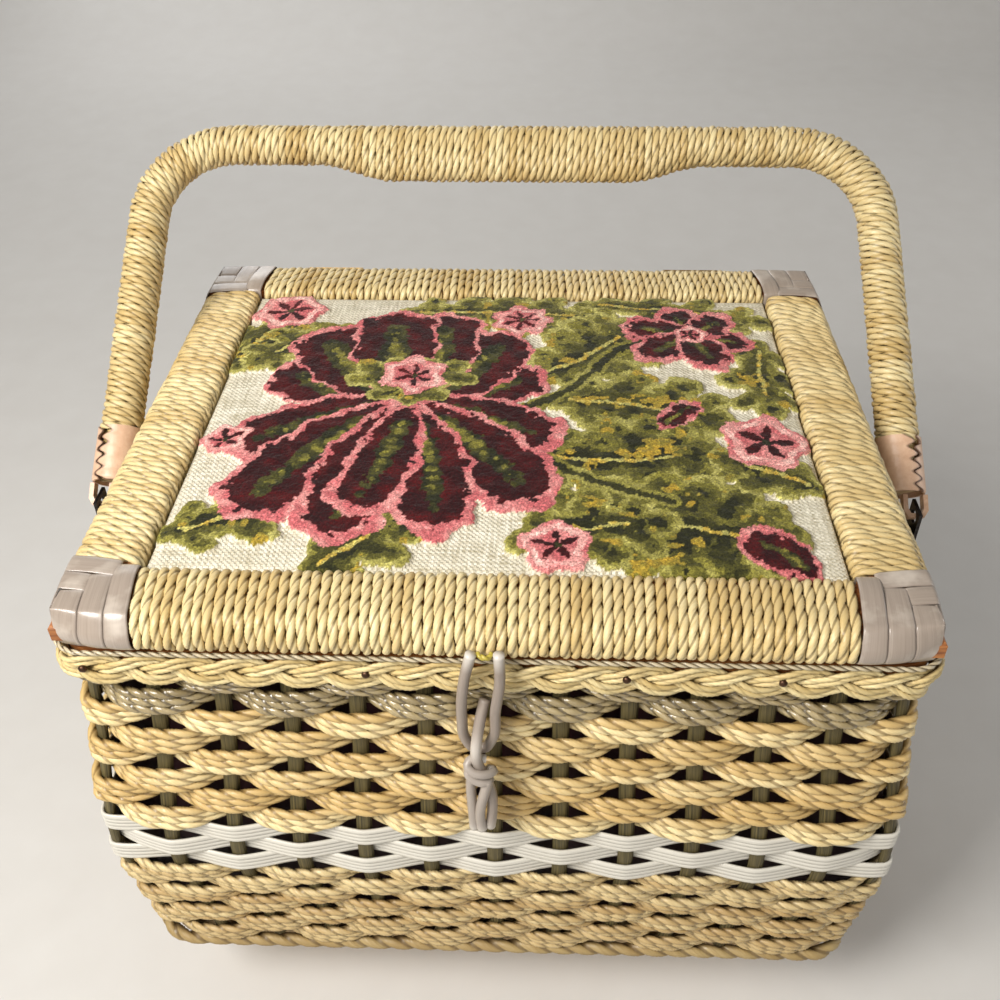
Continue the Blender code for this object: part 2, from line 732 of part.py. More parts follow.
def make_hinges():
    """Two small brass hinges behind the lid. The pin belongs to the lower leaf."""
    pin_y = LID_OUTER_Y + PIN_BEHIND_LID
    pin_z = LID_BOTTOM - PIN_BELOW_LID
    for name, side in (("left", -1), ("right", 1)):
        centre = side * HINGE_SPREAD
        start = centre - HINGE_LENGTH / 2
        third = HINGE_LENGTH / 3
        lower = box(
            f"hinge_lower_{name}",
            (start, RIM_HALF_Y + BRAID_PROUD + GAP, WALL_TOP),
            (start + HINGE_LENGTH, pin_y - KNUCKLE_RADIUS * 0.6, WALL_TOP + LOWER_LEAF_HEIGHT - LOWER_LEAF_TOP),
            BRASS,
        )
        for k, (left, right) in enumerate(((start, start + third - GAP), (start + 2 * third + GAP, start + 3 * third))):
            knuckle = rod(f"knuckle_{name}_{k}", (left, pin_y, pin_z), (right, pin_y, pin_z), KNUCKLE_RADIUS, None, 12, CUTTERS)
            boolean(lower, knuckle, "UNION")
            web = box(
                f"web_{name}_{k}",
                (left, LID_OUTER_Y + GAP * 2, pin_z - KNUCKLE_RADIUS - OVERRUN),
                (right, pin_y - KNUCKLE_RADIUS * 0.3, pin_z),
                None,
                collection=CUTTERS,
            )
            boolean(lower, web, "UNION")
        pin = rod(
            f"pin_{name}",
            (start + GAP, pin_y, pin_z),
            (start + HINGE_LENGTH - GAP, pin_y, pin_z),
            HINGE_PIN,
            None,
            12,
            CUTTERS,
        )
        boolean(lower, pin, "UNION")
        leaf_low = LID_BOTTOM + GAP
        upper = box(
            f"hinge_upper_{name}",
            (start, LID_OUTER_Y + GAP, leaf_low),
            (start + HINGE_LENGTH, LID_OUTER_Y + GAP + UPPER_LEAF, leaf_low + UPPER_LEAF_HEIGHT),
            BRASS,
        )
        middle = (start + third, start + 2 * third)
        knuckle = rod(
            f"middle_knuckle_{name}",
            (middle[0], pin_y, pin_z),
            (middle[1], pin_y, pin_z),
            KNUCKLE_RADIUS,
            None,
            12,
            CUTTERS,
        )
        boolean(upper, knuckle, "UNION")
        for k, (left, right) in enumerate(((start, middle[0]), (middle[1], start + HINGE_LENGTH))):
            notch = box(
                f"notch_{name}_{k}",
                (left - OVERRUN * (1 - k), LID_OUTER_Y - OVERRUN, leaf_low - OVERRUN),
                (right + OVERRUN * k, pin_y + OVERRUN * 2, pin_z + KNUCKLE_RADIUS + GAP * 2),
                None,
                collection=CUTTERS,
            )
            boolean(upper, notch, "DIFFERENCE")
        hole = rod(
            f"pin_hole_{name}",
            (start - OVERRUN, pin_y, pin_z),
            (start + HINGE_LENGTH + OVERRUN, pin_y, pin_z),
            HINGE_PIN + PIN_FIT,
            None,
            12,
            CUTTERS,
        )
        boolean(upper, hole, "DIFFERENCE")


def handle_stations():
    """The bail's centre line in its own plane: (x, along, turn in degrees) from the left leg to the right."""
    leg_top = HANDLE_REACH - HANDLE_BEND
    lean = HANDLE_TAPER / HANDLE_REACH
    start = FERRULE_START + FERRULE_WALL * 2
    side = HANDLE_HALF_WIDTH
    stations = []
    end = FERRULE_START + FERRULE_LENGTH
    for along in (start, end + GAP * 2, end + GAP * 4, leg_top):
        stations.append((-side + lean * along, along, 90))
    centre_x = -side + lean * leg_top + HANDLE_BEND
    for k in range(1, 7):
        turn = 90 - 15 * k
        angle = math.radians(90 + turn)
        stations.append((centre_x + HANDLE_BEND * math.cos(angle), leg_top + HANDLE_BEND * math.sin(angle), turn))
    half_grip = GRIP_LENGTH / 2
    for x in (-half_grip - GRIP_EASE, -half_grip, -half_grip / 3):
        stations.append((x, HANDLE_REACH, 0))
    return stations + [(-x, along, -turn) for x, along, turn in reversed(stations)]


def handle_ring(x, along, turn, radius, swell, sides):
    """One section of the bail: round, or drawn out towards the inside of the bail by the swell."""
    outward = Vector((-math.sin(math.radians(turn)), math.cos(math.radians(turn)), 0))
    ring = []
    for k in range(sides):
        angle = math.tau * (k + 0.5) / sides
        out = radius * math.cos(angle)
        if out < 0:
            out *= 1 + swell / radius
        ring.append(Vector((x, along, 0)) + outward * out + Vector((0, 0, radius * math.sin(angle))))
    return ring


def make_handle():
    """Core rod, the cord wound round it with its thicker grip, and a ferrule and an eye on each leg."""
    pivot = bpy.data.objects.new("handle_pivot", None)
    pivot.location = (0, PIVOT_Y, PIVOT_Z)
    pivot.rotation_euler = (math.radians(HANDLE_LEAN), 0, 0)
    BASKET.objects.link(pivot)
    stations = handle_stations()
    sleeve_end = FERRULE_START + FERRULE_LENGTH + GAP * 2
    half_grip = GRIP_LENGTH / 2
    outer, inner, core = [], [], []
    for x, along, turn in stations:
        radius = HANDLE_RADIUS
        if along <= sleeve_end + GAP / 2:
            radius = FERRULE_RADIUS - FERRULE_WALL - GAP
        swell = GRIP_SWELL if turn == 0 and abs(x) <= half_grip + GAP else 0
        outer.append(handle_ring(x, along, turn, radius, swell, 10))
        inner.append(handle_ring(x, along, turn, HANDLE_CORE + GAP, 0, 10))
        core.append(handle_ring(x, along, turn, HANDLE_CORE, 0, 10))
    handle_core = loft("handle_core", core, PALE_WOOD, smooth=True)
    winding = winding_tube("handle_winding", outer, inner, PAPER_CORD)
    parts = [handle_core, winding]
    for name, side in (("left", -1), ("right", 1)):
        parts += ferrule(name, side)
    for part in parts:
        part.parent = pivot


def winding_tube(name, outer, inner, material):
    """A tube between two skins, closed by a ring of faces at each end."""
    bm = bmesh.new()
    outside = [[bm.verts.new(point) for point in ring] for ring in outer]
    inside = [[bm.verts.new(point) for point in ring] for ring in inner]
    count = len(outside[0])
    for rows in (outside, inside):
        for low, high in zip(rows, rows[1:]):
            for k in range(count):
                bm.faces.new((low[k], low[(k + 1) % count], high[(k + 1) % count], high[k]))
    for end in (0, -1):
        for k in range(count):
            after = (k + 1) % count
            bm.faces.new((outside[end][k], outside[end][after], inside[end][after], inside[end][k]))
    bmesh.ops.recalc_face_normals(bm, faces=bm.faces)
    mesh = bpy.data.meshes.new(name)
    bm.to_mesh(mesh)
    bm.free()
    return add_object(name, mesh, material, True)


def ferrule(name, side):
    """A sheet-metal cup on the leg's end, and under it the strap eye that hangs on the bracket."""
    lean = HANDLE_TAPER / HANDLE_REACH
    axis = side * (HANDLE_HALF_WIDTH - lean * FERRULE_START)
    tip = side * (HANDLE_HALF_WIDTH - lean * (FERRULE_START + FERRULE_LENGTH))
    end = FERRULE_START + FERRULE_LENGTH
    cup = rod(f"handle_ferrule_{name}", (axis, FERRULE_START, 0), (tip, end, 0), FERRULE_RADIUS, FERRULE_PAINT, 16)
    bore = rod(
        f"ferrule_bore_{name}",
        (axis, FERRULE_START + FERRULE_WALL, 0),
        (tip + side * lean * -OVERRUN, end + OVERRUN, 0),
        FERRULE_RADIUS - FERRULE_WALL,
        None,
        16,
        CUTTERS,
    )
    boolean(cup, bore, "DIFFERENCE")
    outer = abs(axis) + FERRULE_RADIUS
    inner = outer - EYE_WIDTH
    half = EYE_STRAP / 2
    bottom = -half
    join = FERRULE_START - GAP
    bend = EYE_WIDTH / 5
    outline = [(outer, join), (outer, bend), (outer - bend, bottom), (inner + bend, bottom), (inner, bend), (inner, join)]
    hollow = [
        (inner + EYE_STRAP, join),
        (inner + EYE_STRAP, bend + half),
        (inner + bend + half, half),
        (outer - bend - half, half),
        (outer - EYE_STRAP, bend + half),
        (outer - EYE_STRAP, join),
    ]
    rings = []
    for z in (-EYE_DEPTH / 2, EYE_DEPTH / 2):
        rings.append([Vector((side * x, y, z)) for x, y in outline + hollow])
    return cup, bore, loft(f"handle_eye_{name}", rings, FERRULE_PAINT)


def make_brackets():
    """A plate on each side wall, an arm under the handle's eye and an ear that the eye hangs through."""
    plate_low = PIVOT_Z + BRACKET_RISE - BRACKET_HEIGHT
    wall = max(wall_half(plate_low)[0], RIM_HALF_X + BRAID_PROUD) + GAP
    lean = HANDLE_TAPER / HANDLE_REACH
    eye_centre = HANDLE_HALF_WIDTH - lean * FERRULE_START + FERRULE_RADIUS - EYE_WIDTH / 2
    arm_top = PIVOT_Z - ARM_DROP
    for name, side in (("left", -1), ("right", 1)):

        def corners(x_low, x_high, half_y, z_low, z_high):
            xs = sorted((side * x_low, side * x_high))
            return (xs[0], PIVOT_Y - half_y, z_low), (xs[1], PIVOT_Y + half_y, z_high)

        plate = box(
            f"handle_bracket_{name}",
            *corners(wall, wall + BRACKET_METAL, BRACKET_WIDTH / 2, plate_low, plate_low + BRACKET_HEIGHT),
            DARK_METAL,
        )
        ear_out = eye_centre + BRACKET_METAL / 2
        arm = box(
            f"arm_{name}",
            *corners(wall + BRACKET_METAL / 2, ear_out, ARM_WIDTH / 2, arm_top - BRACKET_METAL, arm_top),
            None,
            collection=CUTTERS,
        )
        ear = box(
            f"ear_{name}",
            *corners(ear_out - BRACKET_METAL, ear_out, EAR_WIDTH / 2, arm_top - BRACKET_METAL, PIVOT_Z + EAR_TOP),
            None,
            collection=CUTTERS,
        )
        hole = rod(
            f"ear_hole_{name}",
            (side * (eye_centre - OVERRUN), PIVOT_Y, PIVOT_Z),
            (side * (eye_centre + OVERRUN), PIVOT_Y, PIVOT_Z),
            EYE_HOLE,
            None,
            16,
            CUTTERS,
        )
        boolean(plate, arm, "UNION")
        boolean(plate, ear, "UNION")
        boolean(plate, hole, "DIFFERENCE")


def make_latch():
    """A loop of vinyl cord on the lid, hooked over a knotted toggle of the same cord on the wall."""
    loop_y = -(LID_OUTER_Y + GAP + LOOP_RADIUS)
    top = LID_TOP - LOOP_TOP_BELOW_LID
    route = [(LATCH_X + LOOP_REACH * x, loop_y, top - LOOP_DROP * drop) for x, drop in LOOP_SHARES]
    points = smooth_route(route, 3)
    tube("latch_loop", points, [LOOP_RADIUS] * len(points), VINYL_CORD)
    wall_y = -(RIM_HALF_Y + BRAID_PROUD)
    over_y = wall_y - (2 * LOOP_RADIUS + LID_HALF_Y + RAIL_SWELL - RIM_HALF_Y) - STRAND - GAP * 4
    start = WALL_TOP - GAP * 2
    rings = []
    for x, out, drop, wide, deep in TOGGLE_SHARES:
        ring = []
        y = wall_y - STRAND + (over_y - wall_y + STRAND) * out
        for k in range(10):
            angle = math.tau * k / 10
            across = STRAND * (x + wide * math.cos(angle))
            along = STRAND * deep * math.sin(angle)
            ring.append(Vector((LATCH_X + across, y + along, start - TOGGLE_LENGTH * drop)))
        rings.append(ring)
    loft("latch_toggle", rings, VINYL_CORD, smooth=True)
    tie_y = loop_y + LOOP_RADIUS - TIE_RADIUS
    first = route[0][0] + LOOP_RADIUS + GAP
    last = route[-1][0] - LOOP_RADIUS - GAP
    tie_z = top - TIE_RADIUS
    points = [(first, tie_y, tie_z), ((first + last) / 2, tie_y, tie_z + GAP), (last, tie_y, tie_z)]
    tube("latch_tie", points, [TIE_RADIUS] * 3, TIE_PLASTIC)


make_base()
make_rim()
make_stakes()
make_weave()
make_lining()
make_lid()
make_hinges()
make_brackets()
make_handle()
make_latch()
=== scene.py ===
# %% [markdown]
# # A woven sewing basket with a tapestry lid
#
# The object is a rectangular work basket. Its walls are rows of twisted paper cord and white
# plastic cane, woven round reed stakes. Its lid is a wooden frame wound with the same cord,
# round a padded panel of cut velvet. A cord-wound handle swings on two brackets.
#
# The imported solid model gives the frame: every body, pivot and size. This lesson dresses it.
# It loads the model first, so that each piece that follows goes where the solid says.

import math

import bpy
import numpy as np
from mathutils import Matrix, Vector


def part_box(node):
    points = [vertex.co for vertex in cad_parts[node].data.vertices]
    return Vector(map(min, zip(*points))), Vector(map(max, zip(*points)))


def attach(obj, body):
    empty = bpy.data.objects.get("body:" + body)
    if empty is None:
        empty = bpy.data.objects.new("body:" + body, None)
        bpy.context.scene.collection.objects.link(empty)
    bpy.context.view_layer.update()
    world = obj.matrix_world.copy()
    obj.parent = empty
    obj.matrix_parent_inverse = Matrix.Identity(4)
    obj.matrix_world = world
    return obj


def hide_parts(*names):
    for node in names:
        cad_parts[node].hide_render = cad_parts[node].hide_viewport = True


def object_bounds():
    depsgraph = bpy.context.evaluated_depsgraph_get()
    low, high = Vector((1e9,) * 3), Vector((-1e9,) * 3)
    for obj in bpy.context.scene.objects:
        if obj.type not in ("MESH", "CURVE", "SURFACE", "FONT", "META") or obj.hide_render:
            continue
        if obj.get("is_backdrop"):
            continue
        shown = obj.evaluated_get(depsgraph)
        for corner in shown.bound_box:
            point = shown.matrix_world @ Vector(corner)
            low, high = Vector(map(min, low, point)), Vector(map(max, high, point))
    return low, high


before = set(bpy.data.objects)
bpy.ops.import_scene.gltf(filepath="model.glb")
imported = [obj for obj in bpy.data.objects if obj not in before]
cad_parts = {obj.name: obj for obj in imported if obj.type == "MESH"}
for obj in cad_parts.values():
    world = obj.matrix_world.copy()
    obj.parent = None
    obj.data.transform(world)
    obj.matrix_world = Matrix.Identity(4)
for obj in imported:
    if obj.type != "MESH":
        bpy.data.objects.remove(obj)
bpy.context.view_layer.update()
MM = 0.001

# %% [markdown]
# ## Camera
#
# The photograph looks down on the basket from the front. The place and the tilt of its lens
# were found from the lid's corners, whose real distances are known. A camera's matrix holds
# its right, up and backward directions in three columns, so the three angles are turned into
# those directions here. The frame is one square of FRAME pixels.

# %% Set up the photograph's camera
FRAME = 1000
FOCAL = 1070.735
SENSOR = 36.0
EYE = (13.413, -346.005, 427.222)
PITCH, YAW, ROLL = (math.radians(a) for a in (39.061, -2.532, 0.744))

forward = Vector((math.sin(YAW) * math.cos(PITCH), math.cos(YAW) * math.cos(PITCH), -math.sin(PITCH)))
level = Vector((math.cos(YAW), -math.sin(YAW), 0))
down = forward.cross(level)
right = math.cos(ROLL) * level + math.sin(ROLL) * down
down = math.cos(ROLL) * down - math.sin(ROLL) * level
lens = bpy.data.cameras.new("photo_lens")
lens.sensor_width = SENSOR
lens.lens = FOCAL / FRAME * SENSOR
lens.clip_start = 0.01
camera = bpy.data.objects.new("photo_camera", lens)
bpy.context.scene.collection.objects.link(camera)
turn = Matrix((right, -down, -forward)).transposed()
camera.matrix_world = Matrix.Translation(Vector(EYE) * MM) @ turn.to_4x4()
bpy.context.scene.camera = camera
print("lens, mm:", round(lens.lens, 2))

# %% [markdown]
# ## Studio
#
# The basket stands in a small studio. Its four area lights are soft, because a lamp that is
# large for the object gives soft shadows. The key light hangs quite near over the front left,
# so the left side is the brighter one, as in the photograph, and the front edges of the lid
# shine. Two lights stand low at the back and at the right: they reach those walls and hardly
# touch the lid. A wide weak one fills in the shadows of the front wall.

# %% Light the studio
TABLE_CENTRE = (0, 0, 0.1)
SKY_TINT, SKY_STRENGTH = (1.0, 0.985, 0.96, 1), 0.24
LAMPS = (  # name, place and side in metres, watts, tint
    ("key_light", (-0.44, -0.46, 0.74), 0.36, 8.9, (1.0, 0.97, 0.93)),
    ("back_light", (-0.3, 1.25, 0.5), 0.8, 4, (0.97, 0.98, 1.0)),
    ("right_light", (1.3, 0.25, 0.42), 0.8, 3.2, (0.98, 0.98, 1.0)),
    ("front_fill", (-0.1, -1.25, 0.7), 1.0, 3.6, (1.0, 0.98, 0.96)),
)
for name, place, size, power, tint in LAMPS:
    data = bpy.data.lights.new(name, "AREA")
    data.shape, data.size, data.energy, data.color = "SQUARE", size, power, tint
    thing = bpy.data.objects.new(name, data)
    bpy.context.scene.collection.objects.link(thing)
    thing.location = place
    thing.rotation_euler = (Vector(TABLE_CENTRE) - Vector(place)).to_track_quat("-Z", "Y").to_euler()
world = bpy.data.worlds.new("studio")
bpy.context.scene.world = world
world.use_nodes = True
sky = world.node_tree.nodes["Background"]
sky.inputs["Color"].default_value = SKY_TINT
sky.inputs["Strength"].default_value = SKY_STRENGTH
bpy.context.scene.view_settings.view_transform = "Standard"
print("lights:", len(LAMPS))


# %% [markdown]
# ## Colours and nodes
#
# Colours are written as the sRGB hex codes that a paint shop would use, and a shader wants
# them linear, so one function turns them. Another adds a shader node with its settings and
# its links, because every material below is built of the same few kinds. And since nearly
# every one ends in a colour and a fine relief, the last function joins those two.


# %% Helpers for materials
RGBA = {"data_type": "RGBA"}


def paint(code):
    """An sRGB hex colour as linear values with full alpha."""
    parts = [int(code[k : k + 2], 16) / 255 for k in (1, 3, 5)]
    return (*[p / 12.92 if p <= 0.04045 else ((p + 0.055) / 1.055) ** 2.4 for p in parts], 1.0)


def join(tree, value, socket):
    """Gives a socket a plain value, another socket's link, or the result of a node."""
    if isinstance(value, bpy.types.Node):
        value = next(result for result in value.outputs if result.enabled)
    if isinstance(value, bpy.types.NodeSocket):
        tree.links.new(value, socket)
    else:
        socket.default_value = value


def add(tree, kind, inputs=None, **settings):
    """Adds a shader node. Its settings go first, then each input is joined to its value."""
    node = tree.nodes.new("ShaderNode" + kind)
    for key, value in settings.items():
        setattr(node, key, value)
    for socket, value in (inputs or {}).items():
        join(tree, value, node.inputs[socket])
    return node


def finish(name, roughness, metallic=0.0, ior=1.5):
    """A new Principled material: itself, its node tree and its shader."""
    material = bpy.data.materials.new(name)
    material.use_nodes = True
    shader = material.node_tree.nodes["Principled BSDF"]
    for socket, value in (("Roughness", roughness), ("Metallic", metallic), ("IOR", ior)):
        shader.inputs[socket].default_value = value
    return material, material.node_tree, shader


def skin_deep(tree, shader, colour, height=None, strength=0.0, depth=0.0):
    """Joins a colour to the shader, and a relief that is so many metres deep."""
    join(tree, colour, shader.inputs["Base Color"])
    if height:
        relief = add(tree, "Bump", {"Height": height, "Strength": strength, "Distance": depth})
        join(tree, relief, shader.inputs["Normal"])


# %% [markdown]
# ## Twisted paper cord
#
# Most of the basket is paper cord: strips of kraft paper, waxed and twisted into plies, and
# the plies laid together. The eye sees three things. Each ply is a smooth slanting lump with
# faint paper creases along it. Between two plies runs a groove, darkened with painted shade.
# And where a cord turns in towards its neighbour, painted shade makes it dull and brown.
#
# The tubes below carry a UV map for this: u goes once round with the plies, and v is the
# length in metres. Two numbers ride on each point: hollow says how far it faces into the
# work, and so how much painted shade it gets, and tone is a little lighter or darker for each cord.


# %% Make the paper cord's finish
PLIES = 2


def paper_cord(name, light, deep, painted_shade_colour, roughness, groove_shade_share=0.75, hollow_shade_share=0.8, narrow=0.5):
    """Waxed kraft paper twisted into two plies, with painted shade in the groove between them and on the side facing
    into the work.
    """
    material, tree, shader = finish(name, roughness)
    uv = add(tree, "UVMap", uv_map="cord")
    parts = add(tree, "SeparateXYZ", {0: uv})
    hollow, tone = (add(tree, "Attribute", attribute_name=key).outputs["Fac"] for key in ("hollow", "tone"))
    creases = add(tree, "VectorMath", {0: uv, 1: (14.0, 90.0, 1.0)}, operation="MULTIPLY")
    creases = add(tree, "TexNoise", {"Vector": creases, "Scale": 1.0, "Detail": 3.0, "Roughness": 0.6})
    place = add(tree, "TexCoord").outputs["Object"]
    patches = add(tree, "TexNoise", {"Vector": place, "Scale": 55.0, "Detail": 3.0})
    shade = add(tree, "Math", {0: tone, 1: patches}, operation="ADD")
    shade = add(tree, "MapRange", {"Value": shade, "From Min": 0.6, "From Max": 1.4})
    colour = add(tree, "Mix", {0: shade, 6: paint(light), 7: paint(deep)}, **RGBA)
    fine = add(tree, "MapRange", {"Value": creases, "From Min": 0.38, "From Max": 0.68, "To Max": 0.6})
    colour = add(tree, "Mix", {0: fine, 6: colour, 7: paint(deep)}, **RGBA)
    wave = add(tree, "Math", {0: parts.outputs[0], 1: math.tau * PLIES}, operation="MULTIPLY")
    wave = add(tree, "Math", {0: wave}, operation="COSINE")
    # painted shade: the groove between the plies and the side that faces into the work are darkened towards the shade
    # colour
    for value, start, end, share in ((wave, narrow, 1.0, groove_shade_share), (hollow, 0.32, 0.8, hollow_shade_share)):
        limits = {"Value": value, "From Min": start, "From Max": end, "To Max": share}
        painted_shade = add(tree, "MapRange", limits, interpolation_type="SMOOTHSTEP")
        colour = add(tree, "Mix", {0: painted_shade, 6: colour, 7: paint(painted_shade_colour)}, **RGBA)
    waxed = {"Value": creases, "From Min": 0.35, "From Max": 0.65, "To Min": roughness * 0.6, "To Max": roughness * 1.3}
    join(tree, add(tree, "MapRange", waxed), shader.inputs["Roughness"])
    skin_deep(tree, shader, colour, creases, 0.55, 0.5 * MM)
    return material


weave_cord = paper_cord("twisted_kraft_paper_cord", "#EFDDAA", "#CBAC70", "#65491F", 0.42, 0.62, 0.6)
rail_cord = paper_cord("wound_kraft_paper_cord", "#EDDCAA", "#CBAF74", "#54401E", 0.42, 0.62, 0.5, 0.7)
# painted shade: the lowest rows and the foot rope get darker copies of the cord, for the shade low on the wall
lower_cord = paper_cord("shaded_low_kraft_paper_cord", "#E0CB98", "#B89A66", "#503A1F", 0.42, 0.55, 0.7)
foot_cord = paper_cord("shaded_foot_kraft_paper_cord", "#C6B07C", "#947848", "#453018", 0.5, 0.6, 0.8)
border_cord = paper_cord("soft_kraft_paper_cord", "#EDDCA8", "#CFB579", "#5F4520", 0.45, 0.3, 0.9)
print("paper cords: 5")

# %% [markdown]
# ## Tubes in numbers
#
# A cord is a ring of points carried along a line. Blender's curves can do that, but they
# can't turn the ring as it goes, and that turn is what makes plies. So the rings are worked
# out with numpy: each ring has a profile, the plies' outline, and it is rolled a little
# further at every step. A right-handed roll gives the Z twist that the photograph shows.
# Filling a mesh from arrays is also far faster than adding faces one at a time.

# %% Helpers for lines
rng = np.random.default_rng(7)


def unit(vectors):
    return vectors / np.maximum(np.linalg.norm(vectors, axis=-1, keepdims=True), 1e-12)


def flowing(points, steps, closed=False):
    """A curve that passes through all the points, with steps samples in each gap."""
    points = np.asarray(points, float)
    before, after = np.roll(points, 1, 0), np.roll(points, -1, 0)
    if not closed:
        before[0] = 2 * points[0] - points[1]
        after[-1] = 2 * points[-1] - points[-2]
    back, ahead = (
        np.maximum(np.linalg.norm(gap[:, :3], axis=1, keepdims=True), 1e-9) for gap in (points - before, after - points)
    )
    slope = ((points - before) / back * ahead + (after - points) / ahead * back) / (back + ahead)
    t = np.linspace(0, 1, steps, endpoint=False)[None, :, None]
    start, end, leave, arrive = (v[:, None] for v in (points, after, slope * ahead, np.roll(slope, -1, 0) * ahead))
    curve = (
        (2 * t**3 - 3 * t**2 + 1) * start
        + (t**3 - 2 * t**2 + t) * leave
        + (3 * t**2 - 2 * t**3) * end
        + (t**3 - t**2) * arrive
    )
    if closed:
        return curve.reshape(-1, points.shape[1])
    return np.vstack([curve[:-1].reshape(-1, points.shape[1]), points[-1:]])


def travelled(points):
    """The distance run along a line at each of its points."""
    return np.concatenate([[0], np.cumsum(np.linalg.norm(np.diff(points[:, :3], axis=0), axis=1))])


def evenly(points, spacing, closed=False):
    """The same line with its points at even distances."""
    points = np.asarray(points, float)
    if closed:
        points = np.vstack([points, points[:1]])
    run = travelled(points)
    count = max(int(round(run[-1] / spacing)), 3)
    where = np.linspace(0, run[-1], count + 1)[: count if closed else None]
    return np.stack([np.interp(where, run, column) for column in points.T], 1)


def thread(route, samples, spacing, closed=False):
    """A smooth even line in metres, through points that are given in mm."""
    return evenly(flowing(np.array(route) * MM, samples, closed), spacing, closed)


def headings(path, closed):
    """The direction of travel at each point."""
    ahead, behind = np.roll(path, -1, 0), np.roll(path, 1, 0)
    if not closed:
        ahead[-1], behind[0] = path[-1], path[0]
    return unit(ahead - behind)


def outwards(path):
    """The level way out of a closed line that runs counter-clockwise."""
    heading = headings(path, True)
    return unit(np.stack([heading[:, 1], -heading[:, 0], np.zeros(len(path))], 1))


def per_turn(turn, values):
    """One value for each turn of a winding, passing evenly into the next turn's."""
    return np.interp(turn, np.arange(len(values)), values)


# %% Helpers for skins
def parcel(points, quads, uv, caps=(), hollow=0.0, tone=0.0):
    """A skin as the function piece takes it: points, faces, UV map and the two numbers."""
    numbers = {key: np.zeros(len(points)) + np.ravel(v) for key, v in (("hollow", hollow), ("tone", tone))}
    return {"points": points, "quads": quads.reshape(-1, 4), "uv": uv.reshape(-1, 2), "caps": caps, **numbers}


def skin(rings, run, closed=False, hollow=0.0, tone=0.5):
    """Faces over equal rings of points. u goes round each ring and v is the distance run."""
    rings = np.asarray(rings, float)
    count, around = rings.shape[:2]
    step = np.arange(count if closed else count - 1)[:, None]
    turn = np.arange(around)[None, :]
    after, beside = (step + 1) % count, (turn + 1) % around
    ring, next_ring = step * around, after * around
    quads = np.stack([ring + turn, ring + beside, next_ring + beside, next_ring + turn], -1)
    u = np.stack([turn, turn + 1, turn + 1, turn], -1) / around + np.zeros((len(step), 1, 1))
    v = np.stack([run[step], run[step], run[step + 1], run[step + 1]], -1) + np.zeros((1, around, 1))
    ends = np.arange(count * around).reshape(count, around)
    points, uv, caps = rings.reshape(-1, 3), np.stack([u, v], -1), [] if closed else [ends[0][::-1], ends[-1]]
    corners = points[quads]
    facing = np.cross(corners[:, :, 2] - corners[:, :, 0], corners[:, :, 3] - corners[:, :, 1])
    if (facing * (corners.mean(2) - rings.mean(1)[: len(step), None])).sum() < 0:
        quads, uv, caps = quads[:, :, ::-1], uv[:, :, ::-1], [cap[::-1] for cap in caps]
    return parcel(points, quads, uv, caps, hollow, np.repeat(np.broadcast_to(tone, (count,)), around))


def grid_faces(rows, columns):
    """The quads of a grid of points, and the points along its rim."""
    at = np.arange(rows * columns).reshape(rows, columns)
    quads = np.stack([at[:-1, :-1], at[:-1, 1:], at[1:, 1:], at[1:, :-1]], -1).reshape(-1, 4)
    return quads, np.concatenate([at[0, :], at[1:, -1], at[-1, -2::-1], at[-2:0:-1, 0]])


def piece(name, skins, material, body, stands_for=(), smooth=True, extra=None):
    """One object of several skins, with its UV map and its two numbers, riding on a body."""
    offset, quads, caps = 0, [], []
    for part in skins:
        quads.append(part["quads"] + offset)
        caps += [cap + offset for cap in part["caps"]]
        offset += len(part["points"])
    quads = np.vstack(quads)
    loops = np.concatenate([quads.ravel(), *caps]).astype(np.int32)
    sizes = np.array([4] * len(quads) + [len(cap) for cap in caps])
    mesh = bpy.data.meshes.new(name)
    mesh.vertices.add(offset)
    mesh.vertices.foreach_set("co", np.vstack([p["points"] for p in skins]).astype(np.float32).ravel())
    mesh.loops.add(len(loops))
    mesh.loops.foreach_set("vertex_index", loops)
    mesh.polygons.add(len(sizes))
    mesh.polygons.foreach_set("loop_start", np.concatenate([[0], np.cumsum(sizes)[:-1]]).astype(np.int32))
    mesh.update(calc_edges=True)
    uv = np.vstack([*[p["uv"] for p in skins], np.zeros((len(loops) - 4 * len(quads), 2))])
    mesh.uv_layers.new(name="cord").data.foreach_set("uv", uv.astype(np.float32).ravel())
    numbers = {key: np.concatenate([p[key] for p in skins]) for key in ("hollow", "tone")}
    for key, values in {**numbers, **(extra or {})}.items():
        wide = np.ndim(values) == 2
        layer = mesh.attributes.new(key, "FLOAT_COLOR" if wide else "FLOAT", "POINT")
        layer.data.foreach_set("color" if wide else "value", np.asarray(values, np.float32).ravel())
    mesh.polygons.foreach_set("use_smooth", np.full(len(sizes), smooth))
    mesh.materials.append(material)
    mesh.validate()
    thing = bpy.data.objects.new(name, mesh)
    bpy.context.scene.collection.objects.link(thing)
    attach(thing, body)
    if stands_for:
        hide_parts(*stands_for)
    return thing


TWO_PLY = np.array([0.58, 0.86, 0.98, 1.0, 0.98, 0.86] * 2)


